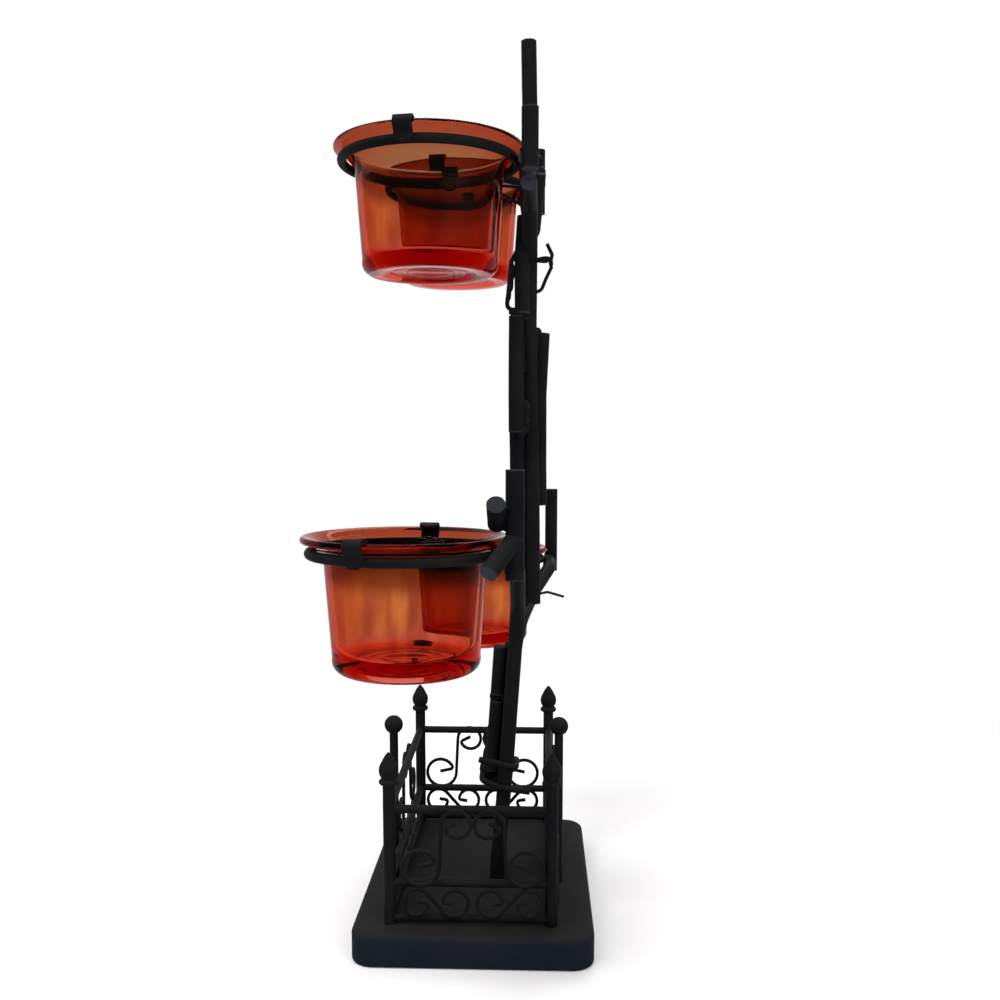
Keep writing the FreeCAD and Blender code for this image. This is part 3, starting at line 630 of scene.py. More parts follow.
def shaped(name, maker, host_mesh, values):
    """The plain mesh that a node tree makes of a host mesh, in iron."""
    if maker not in TREES:
        TREES[maker] = maker()
    tree, known = TREES[maker]
    host = new_object(name + "_line", host_mesh)
    modifier = host.modifiers.new("shape", "NODES")
    modifier.node_group = tree
    for label, value in {**values, "Material": finish(black_painted_iron)}.items():
        modifier[known[label]] = value
    mesh = evaluated_mesh(host)
    bpy.data.objects.remove(host)
    mesh.name = name
    mesh.set_sharp_from_angle(angle=math.radians(SHARP))
    return new_object(name, mesh)


def bars(name, nodes, lines, radius, spacing=1.5, end_round=0.3, sides=20, square=False, dimples=0.0, grain=120.0,
         seed=0.0, closed=False):
    """Iron bars of one section along several lines, which stand for the nodes."""
    vertices, edges = [], []
    for line in lines:
        first = len(vertices)
        vertices += [p * MM for p in (line if closed else stations(line, spacing, end_round))]
        edges += [(i, i + 1) for i in range(first, len(vertices) - 1)]
        if closed:
            edges.append((len(vertices) - 1, first))
    mesh = bpy.data.meshes.new(name + "_line")
    mesh.from_pydata(vertices, edges, [])
    piece = shaped(name, bar_tree, mesh, {
        "Radius": radius * MM, "Sides": sides, "Square": square, "End Round": 1e-6 if closed else end_round * MM,
        "Dimples": dimples * MM, "Grain": grain, "Seed": seed})
    settle(piece, "stand", "black_iron", *nodes)


def plain_object(name, vertices, faces, material, sharp=SHARP):
    """A mesh of vertices in millimetres, with its normals outwards."""
    same_place = 1e-7
    mesh = bpy.data.meshes.new(name)
    mesh.from_pydata([place * MM for place in vertices], [], faces)
    work = bmesh.new()
    work.from_mesh(mesh)
    bmesh.ops.remove_doubles(work, verts=work.verts, dist=same_place)
    bmesh.ops.recalc_face_normals(work, faces=work.faces)
    work.to_mesh(mesh)
    work.free()
    mesh.polygons.foreach_set("use_smooth", [True] * len(mesh.polygons))
    mesh.set_sharp_from_angle(angle=math.radians(sharp))
    mesh.materials.append(material)
    return new_object(name, mesh)


def skinned(name, bodies, material, sharp=SHARP):
    """A closed skin over the rows of points of each body. A row goes round once, or is a single point."""
    vertices, faces = [], []
    for rows in bodies:
        around = max(len(row) for row in rows)
        first = len(vertices)
        for row, after in zip(rows, rows[1:]):
            low, high = len(vertices), len(vertices) + len(row)
            vertices += row
            for step in range(around):
                beyond = (step + 1) % around
                corners = [low + step % len(row), low + beyond % len(row),
                           high + beyond % len(after), high + step % len(after)]
                corners = list(dict.fromkeys(corners))
                if len(corners) > 2:
                    faces.append(corners)
        last = len(vertices)
        vertices += rows[-1]
        if len(rows[0]) > 1:
            faces += [list(range(first, first + around))[::-1], list(range(last, last + around))]
    return plain_object(name, vertices, faces, material, sharp)


def turned(name, outline, centres, segments, material, sharp=SHARP):
    """An outline of (radius, height), from axis to axis, turned about an upright axis through each centre."""
    angles = [2 * math.pi * step / segments for step in range(segments)]
    bodies = [[[centre + Vector((radius * math.cos(angle), radius * math.sin(angle), height))
                for angle in (angles if radius else angles[:1])] for radius, height in outline] for centre in centres]
    return skinned(name, bodies, material, sharp)


def arc(start, middle, end, steps):
    """Points (x, z) on the arc through three points."""
    (ax, az), (bx, bz), (cx, cz) = start, middle, end
    d = 2 * (ax * (bz - cz) + bx * (cz - az) + cx * (az - bz))
    a, b, c = ax ** 2 + az ** 2, bx ** 2 + bz ** 2, cx ** 2 + cz ** 2
    ux = (a * (bz - cz) + b * (cz - az) + c * (az - bz)) / d
    uz = (a * (cx - bx) + b * (ax - cx) + c * (bx - ax)) / d
    radius = math.hypot(ax - ux, az - uz)
    first, half, last = (math.atan2(z - uz, x - ux) for x, z in (start, middle, end))
    full = 2 * math.pi
    sweep = (last - first) % full
    if (half - first) % full > sweep:
        sweep -= full
    angles = [first + sweep * i / steps for i in range(steps + 1)]
    return [(ux + radius * math.cos(angle), uz + radius * math.sin(angle)) for angle in angles]


def cut_away(piece, cutters, sharp):
    """Cuts shapes out of a piece and leaves it a plain mesh."""
    for cutter in cutters:
        modifier = piece.modifiers.new("cut", "BOOLEAN")
        modifier.operation = "DIFFERENCE"
        modifier.solver = "EXACT"
        modifier.object = cutter
    apply_modifiers(piece, sharp)
    for cutter in cutters:
        bpy.data.objects.remove(cutter)


# Finishes

def finish(build):
    """The material that a function builds, made once and named after it."""
    name = build.__name__.replace("_", " ")
    material = bpy.data.materials.get(name)
    if not material:
        material = bpy.data.materials.new(name)
        material.use_nodes = True
        net = Net(material.node_tree)
        shader = material.node_tree.nodes["Principled BSDF"]
        build(net, shader, bpy.context.scene.candle_tree_finishes)
    return material


def bump(net, shader, strength, distance, height):
    net.feed(shader.inputs["Normal"], net.out("ShaderNodeBump", Strength=strength, Distance=distance, Height=height))


def paint(net, shader, main, second, toplit, roughness, patch, grain, relief, lumps, specular, cut=None):
    """Paint with thinner patches, a painted highlight on the cut ends, painted light that makes what faces up paler, a
    fine grain and soft lumps.
    """
    place = net.add("ShaderNodeTexCoord").outputs["Object"]
    thin_paint, toplight_cloud, gloss = (-0.9, 1.9), (0.7, 1.2), (roughness - 0.1, roughness + 0.14)
    patches = net.spread(net.noise(place, patch, 4.0, 0.6), *thin_paint)
    tone = net.blend(net.math("MULTIPLY", patches, 1.0, clamp=True), main, second)
    # Painted highlight: the cut ends are painted paler where frontal light falls on them.
    if cut is not None:
        tone = net.blend(net.add("ShaderNodeAttribute", {"attribute_name": "cut"}).outputs["Fac"], tone, cut)
    # Painted light: faces turned up are painted paler, in patches, where light from above falls on them.
    facing = net.add("ShaderNodeSeparateXYZ", Vector=net.add("ShaderNodeNewGeometry").outputs["Normal"])
    cloud = net.spread(net.noise(place, patch * 2.0), *toplight_cloud)  # half the size of a patch
    toplight = net.math("MULTIPLY", facing.outputs["Z"], cloud, clamp=True)
    net.feed(shader.inputs["Base Color"], net.blend(toplight, tone, toplit))
    fine = net.noise(place, grain, 3.0, 0.6)
    net.feed(shader.inputs["Roughness"], net.spread(fine, *gloss))
    swell = net.math("MULTIPLY", net.noise(place, patch * 3.5, 2.0), lumps)
    grain_share, depth = 0.4, 0.0004
    bump(net, shader, relief, depth, net.math("ADD", net.math("MULTIPLY", fine, grain_share), swell))
    shader.inputs["Specular IOR Level"].default_value = specular


def black_painted_iron(net, shader, look):
    paint(net, shader, look.iron, look.iron_worn, look.iron_toplight, look.iron_gloss, patch=55.0, grain=1400.0,
          relief=0.35, lumps=0.9, specular=0.008, cut=look.iron_end_highlight)


def black_painted_base(net, shader, look):
    paint(net, shader, look.block, look.block_rubbed, look.block_toplight, roughness=0.65, patch=30.0, grain=1800.0,
          relief=0.3, lumps=0.2, specular=0.02)


def plated_screw_steel(net, shader, look):
    place = net.add("ShaderNodeTexCoord").outputs["Object"]
    cloud = net.noise(place, 600.0)
    net.feed(shader.inputs["Base Color"], net.blend(cloud, look.steel, look.steel * 0.7))
    net.feed(shader.inputs["Roughness"], net.spread(cloud, 0.25, 0.45))
    bump(net, shader, 0.2, 0.0001, net.noise(place, 3000.0))
    shader.inputs["Metallic"].default_value = 1.0


def amber_glass(net, shader, look):
    """Amber glass: red at the heavy foot and the rim, with paler upright streaks in the wall.
    The UV map runs round the cup and up it."""
    coords = net.add("ShaderNodeTexCoord")
    split = net.add("ShaderNodeSeparateXYZ", Vector=coords.outputs["UV"])
    round_about, height = net.math("MULTIPLY", split.outputs["X"], 2 * math.pi), split.outputs["Y"]
    stretch, streak_scale, streak_contrast = 0.35, 4.6, (-1.4, 2.3)
    heel_rise, neck_rise, rim_rise = (0.1, 0.24), (0.58, 0.74), (0.8, 0.95)
    wave_scale, wave_depth, density = 42.0, 0.0012, 330.0
    streak_place = net.out("ShaderNodeCombineXYZ", X=net.math("COSINE", round_about),
                           Y=net.math("SINE", round_about), Z=net.math("MULTIPLY", height, stretch))
    streaks = net.spread(net.noise(streak_place, streak_scale, 2.5), *streak_contrast)
    wall = net.blend(net.math("MULTIPLY", streaks, 1.0, clamp=True), look.glass_wall, look.glass_pale)
    low = net.blend(net.rise(height, *heel_rise), look.glass_heel, wall)
    high = net.blend(net.rise(height, *neck_rise), low, look.glass_neck)
    net.feed(shader.inputs["Base Color"], net.blend(net.rise(height, *rim_rise), high, look.glass_rim))
    place = coords.outputs["Object"]
    net.feed(shader.inputs["Roughness"], net.spread(net.noise(place, 90.0), 0.0, 0.05))
    bump(net, shader, 0.35, wave_depth, net.noise(place, wave_scale, 1.5))
    shader.inputs["Transmission Weight"].default_value = 1.0
    shader.inputs["IOR"].default_value = 1.08
    depth = net.out("ShaderNodeVolumeAbsorption", Color=(0.92, 0.45, 0.2, 1.0), Density=density)
    net.feed(net.tree.nodes["Material Output"].inputs["Volume"], depth)


def seen(net):
    """1 for rays that show the background, straight, in gloss or through glass."""
    path = net.add("ShaderNodeLightPath").outputs
    return net.math("MAXIMUM", net.math("MAXIMUM", path["Is Camera Ray"], path["Is Glossy Ray"]),
                    path["Is Transmission Ray"])


def pale_floor(net, shader, look):
    """A mottled floor that fades to white away from the holder, between two distances in metres."""
    fade_start, fade_end = 0.12, 0.45
    place = net.add("ShaderNodeTexCoord").outputs["Object"]
    net.feed(shader.inputs["Base Color"],
             net.blend(net.noise(place, 6.0), look.floor, look.floor * 0.985))
    shader.inputs["Roughness"].default_value = 0.8
    shader.inputs["Specular IOR Level"].default_value = 0.1
    far = net.add("ShaderNodeVectorMath", {"operation": "LENGTH"}, Vector=place).outputs["Value"]
    mix = net.add("ShaderNodeMixShader", Fac=net.math("MULTIPLY", seen(net), net.rise(far, fade_start, fade_end)))
    net.feed(mix.inputs[1], shader.outputs[0])
    net.feed(mix.inputs[2], net.out("ShaderNodeEmission", Strength=1.0))
    net.feed(net.tree.nodes["Material Output"].inputs[0], mix.outputs[0])


# Steps

class CANDLETREE_OT_stage(bpy.types.Operator):
    """Set the pale floor, the soft lamps and the camera"""
    bl_idname = "candle_tree.stage"
    bl_label = "Stage"

    # Name, place and width in metres, and power in watts
    lamps = (("key", (0.4, -0.45, 1.1), 0.6, 9.0), ("fill", (0.65, 0.65, 0.55), 0.8, 4.5),
             ("back", (-0.7, 0.1, 0.95), 0.6, 4.5))

    def execute(self, context):
        scene = context.scene
        scene.view_settings.view_transform = "Standard"
        half, drop = 3.0, 0.0002
        light_on_part, light_in_view = 0.6, 1.0
        mesh = bpy.data.meshes.new("floor")
        mesh.from_pydata([(-half, -half, 0), (half, -half, 0), (half, half, 0), (-half, half, 0)], [], [(0, 1, 2, 3)])
        mesh.materials.append(finish(pale_floor))
        floor = new_object("floor", mesh)
        floor.location.z = -drop
        scene.world = world = bpy.data.worlds.new("studio")
        world.use_nodes = True
        net = Net(world.node_tree)
        background = world.node_tree.nodes["Background"]
        background.inputs["Color"].default_value = (1, 1, 1, 1)
        net.feed(background.inputs["Strength"], net.spread(seen(net), light_on_part, light_in_view))
        for lamp in self.lamps:
            self.lamp(*lamp)
        scene.camera = self.camera()
        return {"FINISHED"}

    def lamp(self, name, place, width, power):
        light = bpy.data.lights.new(name, "AREA")
        light.shape = "SQUARE"
        light.size = width
        light.energy = power
        lamp = new_object(name, light)
        lamp.location = place
        aim = UP * 0.15  # near the holder's middle, in metres
        lamp.rotation_euler = (aim - Vector(place)).to_track_quat("-Z", "Y").to_euler()
        lamp.visible_camera = lamp.visible_transmission = False

    def camera(self):
        lens = bpy.data.cameras.new("camera")
        lens.lens, lens.sensor_width = 36.562, 36.0
        lens.shift_x, lens.shift_y = 0.0040, 0.0570
        lens.clip_start = 0.01
        camera = new_object("camera", lens)
        yaw, pitch = 0.0379786, 0.1138317
        ahead = Vector((-math.cos(yaw) * math.cos(pitch), -math.sin(yaw) * math.cos(pitch), -math.sin(pitch)))
        camera.location = Vector((408.505, 22.266, 191.000)) * MM
        camera.rotation_euler = ahead.to_track_quat("-Z", "Y").to_euler()
        return camera


class CANDLETREE_OT_base(bpy.types.Operator):
    """Make the block base with its rounded edges and screw holes, and the two screws"""
    bl_idname = "candle_tree.base"
    bl_label = "Base and screws"

    # Outlines as radius and height, and half the length and width of each bar of a screw's cross
    bore = [(0, -1.0), (3.5, -1.0), (3.5, 4.0), (1.7, 4.0), (1.7, 13.5), (0, 13.5)]
    screw = [(0, 1.8), (1.7, 1.8), (2.3, 1.95), (2.65, 2.3), (2.8, 2.8), (2.8, 4.0), (1.5, 4.0), (1.5, 19.2), (0, 19.2)]
    cross = [Vector((1.5, 0.28, 0)), Vector((0.28, 1.5, 0))]

    def execute(self, context):
        sizes = millimetres(context)
        feet = [trunk_foot(place, sizes).xy.to_3d() for place in (-1, 1)]
        paint, steel = finish(black_painted_base), finish(plated_screw_steel)
        segments, sharp = 40, 30
        block = self.block(sizes, paint, sharp)
        cut_away(block, [turned("hole", self.bore, [foot], segments, paint) for foot in feet], sharp)
        settle(block, "stand", "black_base", "base_block")
        screws = turned("trunk_screws_plated", self.screw, feet, segments, steel, sharp)
        cut_away(screws, [self.slot(foot, across, steel) for foot in feet for across in self.cross], sharp)
        settle(screws, "stand", "screw_steel", "trunk_screws")
        return {"FINISHED"}

    def block(self, sizes, paint, sharp):
        """A rounded rectangle at each level, drawn in by the foot's bevel and the top's rounding."""
        half_x, half_y = sizes.base_length / 2, sizes.base_width / 2
        corner, top, high, bevel = sizes.base_corner, sizes.base_round, sizes.base_height, sizes.base_bevel
        flat, under_round, round_steps, turns = 0.5, 0.4, 8, 10
        rows = [(bevel + flat, 0.0), (bevel, 0.0), (bevel * 0.3, bevel * 0.3), (0.0, bevel), (0.0, bevel * 1.5),
                (0.0, high - top - under_round)]
        for angle in (math.radians(90 * step / round_steps) for step in range(round_steps + 1)):
            rows.append((top * (1 - math.cos(angle)), high - top + top * math.sin(angle)))
        rows.append((top + flat, high))
        plan = [(Vector((sx * (half_x - corner), sy * (half_y - corner), 0)), math.pi / 2 * (quarter + step / turns))
                for quarter, (sx, sy) in enumerate(((1, 1), (-1, 1), (-1, -1), (1, -1))) for step in range(turns + 1)]
        levels = [[middle + Vector(((corner - inset) * math.cos(angle), (corner - inset) * math.sin(angle), level))
                   for middle, angle in plan] for inset, level in rows]
        return skinned("base_block_painted", [levels], paint, sharp)

    def slot(self, foot, across, steel):
        """A box that cuts one bar of the cross in a screw's head."""
        bottom, top = 1.0, 3.0
        low, high = foot + UP * bottom - across, foot + UP * top + across
        corners = [Vector((x, y, z)) for z in (low.z, high.z) for y in (low.y, high.y) for x in (low.x, high.x)]
        sides = [(0, 2, 3, 1), (4, 5, 7, 6), (0, 1, 5, 4), (2, 6, 7, 3), (0, 4, 6, 2), (1, 3, 7, 5)]
        return plain_object("slot", corners, sides, steel)


class CANDLETREE_OT_posts(bpy.types.Operator):
    """Make the fence's posts with their acorn and ball finials"""
    bl_idname = "candle_tree.posts"
    bl_label = "Posts and finials"

    def execute(self, context):
        sizes = millimetres(context)
        for name, foot in fence_corners():
            self.post(name + "_post", foot, sizes.corner_post_height, sizes.corner_post / 2, 0.15, 28)
            self.finial(name + "_finial", self.acorn(sizes), foot + UP * sizes.corner_post_height, 36)
        for name, side in SIDES:
            off = (sizes.rail + sizes.middle_post) / 2
            foot = FENCE_MIDDLE + Vector((MIDDLE_POST_X, side * (FENCE_HALF.y + off), 0))
            self.post(name + "_middle_post", foot, sizes.middle_post_height, sizes.middle_post / 2, 0.1, 24)
            self.finial(name + "_ball", self.ball(sizes), foot + UP * sizes.middle_post_height, 40)
        return {"FINISHED"}

    def post(self, node, foot, height, radius, end_round, sides):
        bars(node + "_iron", [node], [[foot, foot + UP * height]], radius, spacing=4, end_round=end_round, sides=sides)

    def finial(self, node, outline, top, segments):
        piece = turned(node + "_iron", outline, [top], segments, finish(black_painted_iron), 50)
        settle(piece, "stand", "black_iron", node)

    def acorn(self, sizes):
        """Skirted collar, groove and pointed bulb."""
        bulb, collar, tall = sizes.acorn / 2, sizes.collar / 2, sizes.acorn_length
        skirt = tall * 0.17
        outline = [(0, 0), (collar * 0.74, 0)]
        outline += arc((collar * 0.8, 0.02), (collar, skirt * 0.42), (collar * 0.8, skirt), 8)
        outline += [(bulb * 0.72, skirt * 1.18)]
        outline += arc((bulb * 0.78, skirt * 1.3), (bulb, tall * 0.43), (bulb * 0.74, tall * 0.68), 14)
        outline += arc((bulb * 0.72, tall * 0.695), (bulb * 0.43, tall * 0.86), (bulb * 0.1, tall - 0.14), 8)
        return outline + [(bulb * 0.04, tall - 0.03), (0, tall)]

    def ball(self, sizes):
        """A ball that the top of its post sinks into."""
        radius, post = sizes.ball / 2, sizes.middle_post / 2
        centre = math.sqrt(radius ** 2 - post ** 2)
        start = math.asin(post / radius)
        steps = 20
        angles = [start + (math.pi - start) * step / steps for step in range(steps)]
        wall = [(radius * math.sin(angle), centre - radius * math.cos(angle)) for angle in angles]
        return [(0, 0)] + wall + [(0, centre + radius)]


class CANDLETREE_OT_rails(bpy.types.Operator):
    """Make the twelve rails of the fence"""
    bl_idname = "candle_tree.rails"
    bl_label = "Rails"

    def execute(self, context):
        sizes = millimetres(context)
        corners = dict(fence_corners())
        sink_share = 0.75
        inset = sizes.corner_post / 2 * sink_share
        for side, ends in (("right", ("front_right", "back_right")), ("left", ("front_left", "back_left")),
                           ("front", ("front_left", "front_right")), ("back", ("back_left", "back_right"))):
            first, second = (corners[end] for end in ends)
            along = (second - first).normalized() * inset
            for name, level in RAIL_LEVELS.items():
                node = side + "_" + name + "_rail"
                bars(node + "_iron", [node], [[first + along + UP * level, second - along + UP * level]],
                     sizes.rail / 2, spacing=2.5, end_round=0.1, dimples=0.06, grain=160.0, seed=level)
        return {"FINISHED"}


class CANDLETREE_OT_scrolls(bpy.types.Operator):
    """Make the bent wire scrolls on the four sides of the fence"""
    bl_idname = "candle_tree.scrolls"
    bl_label = "Scrolls"

    def execute(self, context):
        sizes = millimetres(context)
        for name, lines in panel_lines(sizes).items():
            bars(name + "_iron", [name], lines, sizes.scroll_wire / 2, spacing=0.7, end_round=0.2, square=True)
        return {"FINISHED"}


class CANDLETREE_OT_tree(bpy.types.Operator):
    """Make the trunk, the boughs and the stubs from blunt rods"""
    bl_idname = "candle_tree.tree"
    bl_label = "Trunk and boughs"

    def execute(self, context):
        sizes = millimetres(context)
        for number, (name, rods) in enumerate(sorted(rod_lines(sizes).items())):
            bars(name + "_iron", [name], rods, sizes.rod / 2 + sizes.coat, spacing=1.2, end_round=sizes.rod_end,
                 sides=26, dimples=sizes.uneven, grain=190.0, seed=number * 3.7)
        return {"FINISHED"}


class CANDLETREE_OT_ties(bpy.types.Operator):
    """Make the thin wires twisted round the rods"""
    bl_idname = "candle_tree.ties"
    bl_label = "Wire ties"

    def execute(self, context):
        sizes = millimetres(context)
        for name, thickness in TIE_THICKNESS.items():
            bars(name + "_iron", ["wire_ties"], [bent(places(TIES[name]), sizes.tie_bend)], sizes.tie / 2 * thickness,
                 spacing=0.6, end_round=0.4, sides=14, dimples=0.12, grain=420.0)
        bars("foot_tie_iron", ["wire_ties"], [bent(foot_tie_line(sizes), sizes.foot_tie_bend)],
             sizes.foot_tie / 2 + sizes.coat, spacing=0.7, end_round=1.0, sides=18, dimples=0.2, grain=300.0)
        return {"FINISHED"}


class CANDLETREE_OT_rings(bpy.types.Operator):
    """Make the wire rings and the strap clips that hold the cups"""
    bl_idname = "candle_tree.rings"
    bl_label = "Rings and clips"

    def execute(self, context):
        sizes = millimetres(context)
        steps = 120
        angles = [2 * math.pi * step / steps for step in range(steps)]
        for name in CUP_NAMES:
            centre = cup_centre(name) + UP * ring_level(sizes)
            line = [centre + sizes.ring * Vector((math.cos(angle), math.sin(angle), 0)) for angle in angles]
            bars(name + "_ring_iron", [name + "_ring"], [line], sizes.ring_wire / 2, sides=22, closed=True,
                 dimples=0.07, grain=200.0, seed=len(name))
            settle(self.clips(name, sizes), "stand", "black_iron", name + "_clips")
        return {"FINISHED"}

    def clip_path(self, sizes):
        """Middle line of a strap in the XZ plane, from its foot to its tip."""
        foot, tip, bend_radius = 3.6, 3.4, 1.2
        centre, _, lip = flare(sizes)
        thick, wire = sizes.clip_thickness, sizes.ring_wire
        middle = sizes.cup_wall / 2 + sizes.clip_clearance + thick / 2
        knee = Vector((sizes.ring + wire / 2 + ROD_GAP + thick / 2, 0, ring_level(sizes) + wire / 2))
        to_lip = lip - knee
        bearing = math.atan2(to_lip.z, to_lip.x) - math.asin(middle / to_lip.length)
        out = Vector((math.sin(bearing), 0, -math.cos(bearing)))
        over = (lip - centre).normalized()
        path = bent([knee - UP * foot, knee, lip + out * middle], bend_radius)
        turn = out.angle(over)
        steps = 14
        for step in range(1, steps + 1):
            path.append(lip + (Matrix.Rotation(-turn * step / steps, 3, "Y") @ out) * middle)
        return path + [path[-1] + Vector((-over.z, 0, over.x)) * tip]

    def clips(self, name, sizes):
        """Two straps with rounded ends and softened edges."""
        path = stations(self.clip_path(sizes), 0.5, 0.05)
        marks = runs(path)
        half, thick, corner = sizes.clip_width / 2, sizes.clip_thickness / 2, 2.2
        softness, soft_angle = 0.22, 50
        straps = []
        for degrees in CLIP_ANGLES[name.split("_")[0]]:
            spin = Matrix.Rotation(math.radians(degrees), 3, "Z")
            rows = []
            for index, point in enumerate(path):
                before, after = path[max(index - 1, 0)], path[min(index + 1, len(path) - 1)]
                along = (after - before).normalized()
                out = Vector((along.z, 0, -along.x)) * thick
                short = max(corner - min(marks[index], marks[-1] - marks[index]), 0.0)
                width = half - corner + math.sqrt(corner ** 2 - short ** 2)
                rows.append([cup_centre(name) + spin @ (point + out * face + Vector((0, side * width, 0)))
                             for side, face in ((-1, 1), (1, 1), (1, -1), (-1, -1))])
            straps.append(rows)
        piece = skinned(name + "_clips_iron", straps, finish(black_painted_iron), 35)
        bevel = piece.modifiers.new("soft edges", "BEVEL")
        bevel.width = softness * MM
        bevel.segments = 2
        bevel.limit_method = "ANGLE"
        bevel.angle_limit = math.radians(soft_angle)
        apply_modifiers(piece, soft_angle)
        return piece


class CANDLETREE_OT_welds(bpy.types.Operator):
    """Put uneven weld beads where rods, rings, rails and posts meet, and paint-filled seams between the rods"""
    bl_idname = "candle_tree.welds"
    bl_label = "Weld beads"

    def execute(self, context):
        sizes = millimetres(context)
        beads = list(self.beads(sizes))
        mesh = bpy.data.meshes.new("weld_places")
        mesh.from_pydata([place * MM for place, half in beads], [], [])
        attribute = mesh.attributes.new("bead", "FLOAT_VECTOR", "POINT")
        attribute.data.foreach_set("vector", [c * MM for place, half in beads for c in half])
        piece = shaped("weld_beads", bead_tree, mesh, {"Dimples": 0.6 * MM, "Grain": 380.0, "Seed": 7})
        settle(piece, "stand", "black_iron")
        seam_reach, seam_radius = sizes.rod + 1.9, 1.25
        bars("weld_seams", [], seams(sizes, seam_reach), seam_radius, spacing=1.2, end_round=1.0, sides=14,
             dimples=0.5, grain=330.0, seed=2.0)
        return {"FINISHED"}

    def beads(self, sizes):
        """Place and half size of each bead."""
        rod = sizes.rod / 2
        for name in CUP_NAMES:
            line = bough_line(name, sizes)
            foot = twig_line(name, sizes)[0]
            for lift, half in ((2.6, (2.0, 2.2, 1.5)), (-2.4, (1.9, 2.0, 1.3))):
                yield Vector((foot.x, foot.y - rod * 0.5, line[-1].z + lift)), half
            seat = (line[-1] + line[-2]) / 2
            ring_back = cup_centre(name) + Vector((0, sizes.ring, ring_level(sizes)))
            for off in (-3.4, 0.0, 3.4):
                yield (seat + ring_back) / 2 + Vector((off, 0, 1.0)), (2.3, 1.2, 1.1)
        for name, off in (("front_stay", 2.0), ("back_stay", -2.0)):
            line = places(RODS[name])
            for point in (line[0], line[-1]):
                yield point + Vector((0, off, 0)), (2.1, 1.9, 2.6)
        for levels in FRONT_BRACES:
            for end in front_brace_line(levels, sizes):
                yield end + Vector((0, rod, 0)), (2.0, 1.4, 2.4)
        for shares, half in LUMPS:
            yield at(*shares), half
        for shares, off, half in ((CORE_TOP[-1], (-0.2, rod, -1.0), (2.0, 1.4, 2.6)),
                                  (RODS["trunk_leader"][0], (0, -rod, 1.0), (2.0, 1.5, 2.6)),
                                  (BOUGH_STARTS["upper_right"][0], (2.6, -1.2, 1.6), (2.0, 2.2, 2.0)),
                                  (BOUGH_STARTS["upper_left"][0], (-2.8, 0.4, 1.8), (2.0, 2.3, 2.0)),
                                  (RODS["crown_brace"][0], (2.8, 0.3, 1.9), (1.8, 2.2, 1.7))):
            yield at(*shares) + Vector(off), half
        low, high = places(RODS["front_stay"])[:2]
        for share_along in (0.25, 0.6):
            yield low + (high - low) * share_along + Vector((-2.6, 3.1, 0)), (2.8, 2.6, 4.6)
        inset, thin, wide = sizes.corner_post / 2 * 0.92, 0.75, 1.62  # beads where the rails meet the posts
        for name, foot in fence_corners():
            for level in RAIL_LEVELS.values():
                inward_x = -math.copysign(inset, foot.x - FENCE_MIDDLE.x)
                inward_y = -math.copysign(inset, foot.y - FENCE_MIDDLE.y)
                yield foot + Vector((inward_x, 0, level)), (thin, wide, wide)
                yield foot + Vector((0, inward_y, level)), (wide, thin, wide)


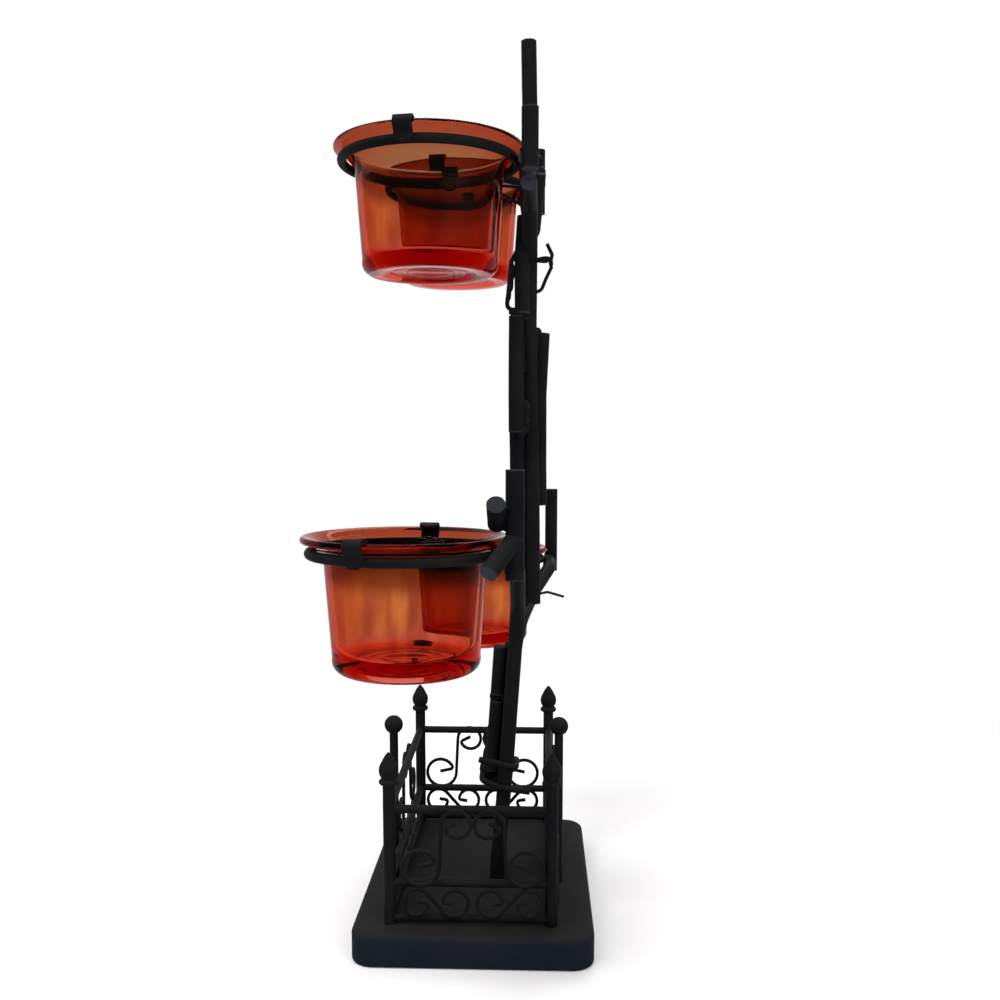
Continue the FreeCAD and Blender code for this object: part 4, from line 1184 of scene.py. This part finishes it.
class CANDLETREE_OT_cups(bpy.types.Operator):
    """Blow the four flared amber glass cups"""
    bl_idname = "candle_tree.cups"
    bl_label = "Glass cups"

    def execute(self, context):
        sizes = millimetres(context)
        outline = self.outline(sizes)
        for name in CUP_NAMES:
            centre = cup_centre(name)
            cup = turned(name + "_cup_glass", outline, [centre], 96, finish(amber_glass), 60)
            self.unwrap(cup.data, centre, sizes.cup_height)
            settle(cup, name + "_cup", "amber_glass", name + "_cup")
        return {"FINISHED"}

    def unwrap(self, mesh, centre, tall):
        """A UV map that runs round the cup and up it."""
        layer = mesh.uv_layers.new(name="around_and_up")
        for polygon in mesh.polygons:
            spots = [mesh.vertices[index].co / MM - centre for index in polygon.vertices]
            angles = [math.atan2(spot.y, spot.x) / (2 * math.pi) % 1.0 for spot in spots]
            wraps = max(angles) - min(angles) > 0.5
            for loop, spot, angle in zip(polygon.loop_indices, spots, angles):
                layer.data[loop].uv = (angle + (1.0 if wraps and angle < 0.5 else 0.0), 1 + spot.z / tall)

    def outline(self, sizes):
        """Radius and height of the glass, from the middle of the floor, over the lip, to the middle underneath."""
        centre, radius, lip = flare(sizes)
        wall = sizes.cup_wall
        way = (lip - centre).normalized()
        start = math.atan2(way.z, way.x)
        half = math.pi - start
        bottom = -sizes.cup_height
        floor = bottom + sizes.cup_floor
        heel, foot, heel_top = sizes.cup_heel / 2, sizes.cup_foot / 2, bottom + sizes.cup_heel_height
        inside, bowl = heel - wall, 4.0
        straight_steps, round_steps, flare_steps, lip_steps = 8, 10, 14, 12
        diagonal = bowl * (1 - math.sqrt(0.5))
        inner, outer = radius + wall / 2, radius - wall / 2
        points = [(0.0, floor), (inside * 0.4, floor), (inside - bowl - 1.0, floor)]
        points += arc((inside - bowl, floor), (inside - diagonal, floor + diagonal), (inside, floor + bowl),
                      round_steps)
        points += self.between(points[-1], (centre.x - inner, centre.z), straight_steps)
        points += self.flared(centre, inner, half, flare_steps)
        for angle in (start - math.pi * step / lip_steps for step in range(1, lip_steps)):
            points.append((lip.x + wall / 2 * math.cos(angle), lip.z + wall / 2 * math.sin(angle)))
        points += self.flared(centre, outer, half, flare_steps)[::-1]
        points += self.between(points[-1], (heel, heel_top), straight_steps)
        points += arc((heel, heel_top), (foot + (heel - foot) * 0.8, bottom + sizes.cup_heel_height * 0.35),
                      (foot, bottom), round_steps)
        # The foot's rim, the raised middle behind it and two ridges under the middle, as radius and rise
        raised = 1.2
        under = [(foot - 0.4, 0.0), (17.6, 0.0), (17.0, 0.2), (16.2, 1.0), (15.6, raised)]
        for ridge in (12.5, 7.5):
            under += [(ridge + 0.9, raised), (ridge + 0.4, 0.95), (ridge - 0.4, 0.95), (ridge - 0.9, raised)]
        return points + [(radius, bottom + rise) for radius, rise in under + [(0.0, raised)]]

    def between(self, start, end, steps):
        return [(start[0] + (end[0] - start[0]) * i / steps, start[1] + (end[1] - start[1]) * i / steps)
                for i in range(1, steps + 1)]

    def flared(self, centre, radius, half, steps):
        """Points up the flare, from the neck to the lip."""
        angles = [half * i / steps for i in range(steps + 1)]
        return [(centre.x - radius * math.cos(angle), centre.z + radius * math.sin(angle)) for angle in angles]


OPERATORS = (CANDLETREE_OT_stage, CANDLETREE_OT_base, CANDLETREE_OT_posts, CANDLETREE_OT_rails, CANDLETREE_OT_scrolls,
             CANDLETREE_OT_tree, CANDLETREE_OT_ties, CANDLETREE_OT_rings, CANDLETREE_OT_welds, CANDLETREE_OT_cups)


class CANDLETREE_PT_panel(bpy.types.Panel):
    """Steps that dress the candle tree"""
    bl_idname = "CANDLETREE_PT_panel"
    bl_label = "Candle Tree"
    bl_space_type = "VIEW_3D"
    bl_region_type = "UI"
    bl_category = "Candle Tree"

    def draw(self, context):
        for operator in OPERATORS:
            self.layout.operator(operator.bl_idname)


CLASSES = (CandleTreeSizes, CandleTreeFinishes) + OPERATORS + (CANDLETREE_PT_panel,)


def register():
    for one in CLASSES:
        bpy.utils.register_class(one)
    bpy.types.Scene.candle_tree_sizes = bpy.props.PointerProperty(type=CandleTreeSizes)
    bpy.types.Scene.candle_tree_finishes = bpy.props.PointerProperty(type=CandleTreeFinishes)


def unregister():
    del bpy.types.Scene.candle_tree_finishes
    del bpy.types.Scene.candle_tree_sizes
    for one in reversed(CLASSES):
        bpy.utils.unregister_class(one)


def main():
    register()
    bpy.ops.candle_tree.stage()
    bpy.ops.candle_tree.base()
    bpy.ops.candle_tree.posts()
    bpy.ops.candle_tree.rails()
    bpy.ops.candle_tree.scrolls()
    bpy.ops.candle_tree.tree()
    bpy.ops.candle_tree.ties()
    bpy.ops.candle_tree.rings()
    bpy.ops.candle_tree.welds()
    bpy.ops.candle_tree.cups()
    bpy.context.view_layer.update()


if __name__ == "__main__":
    main()
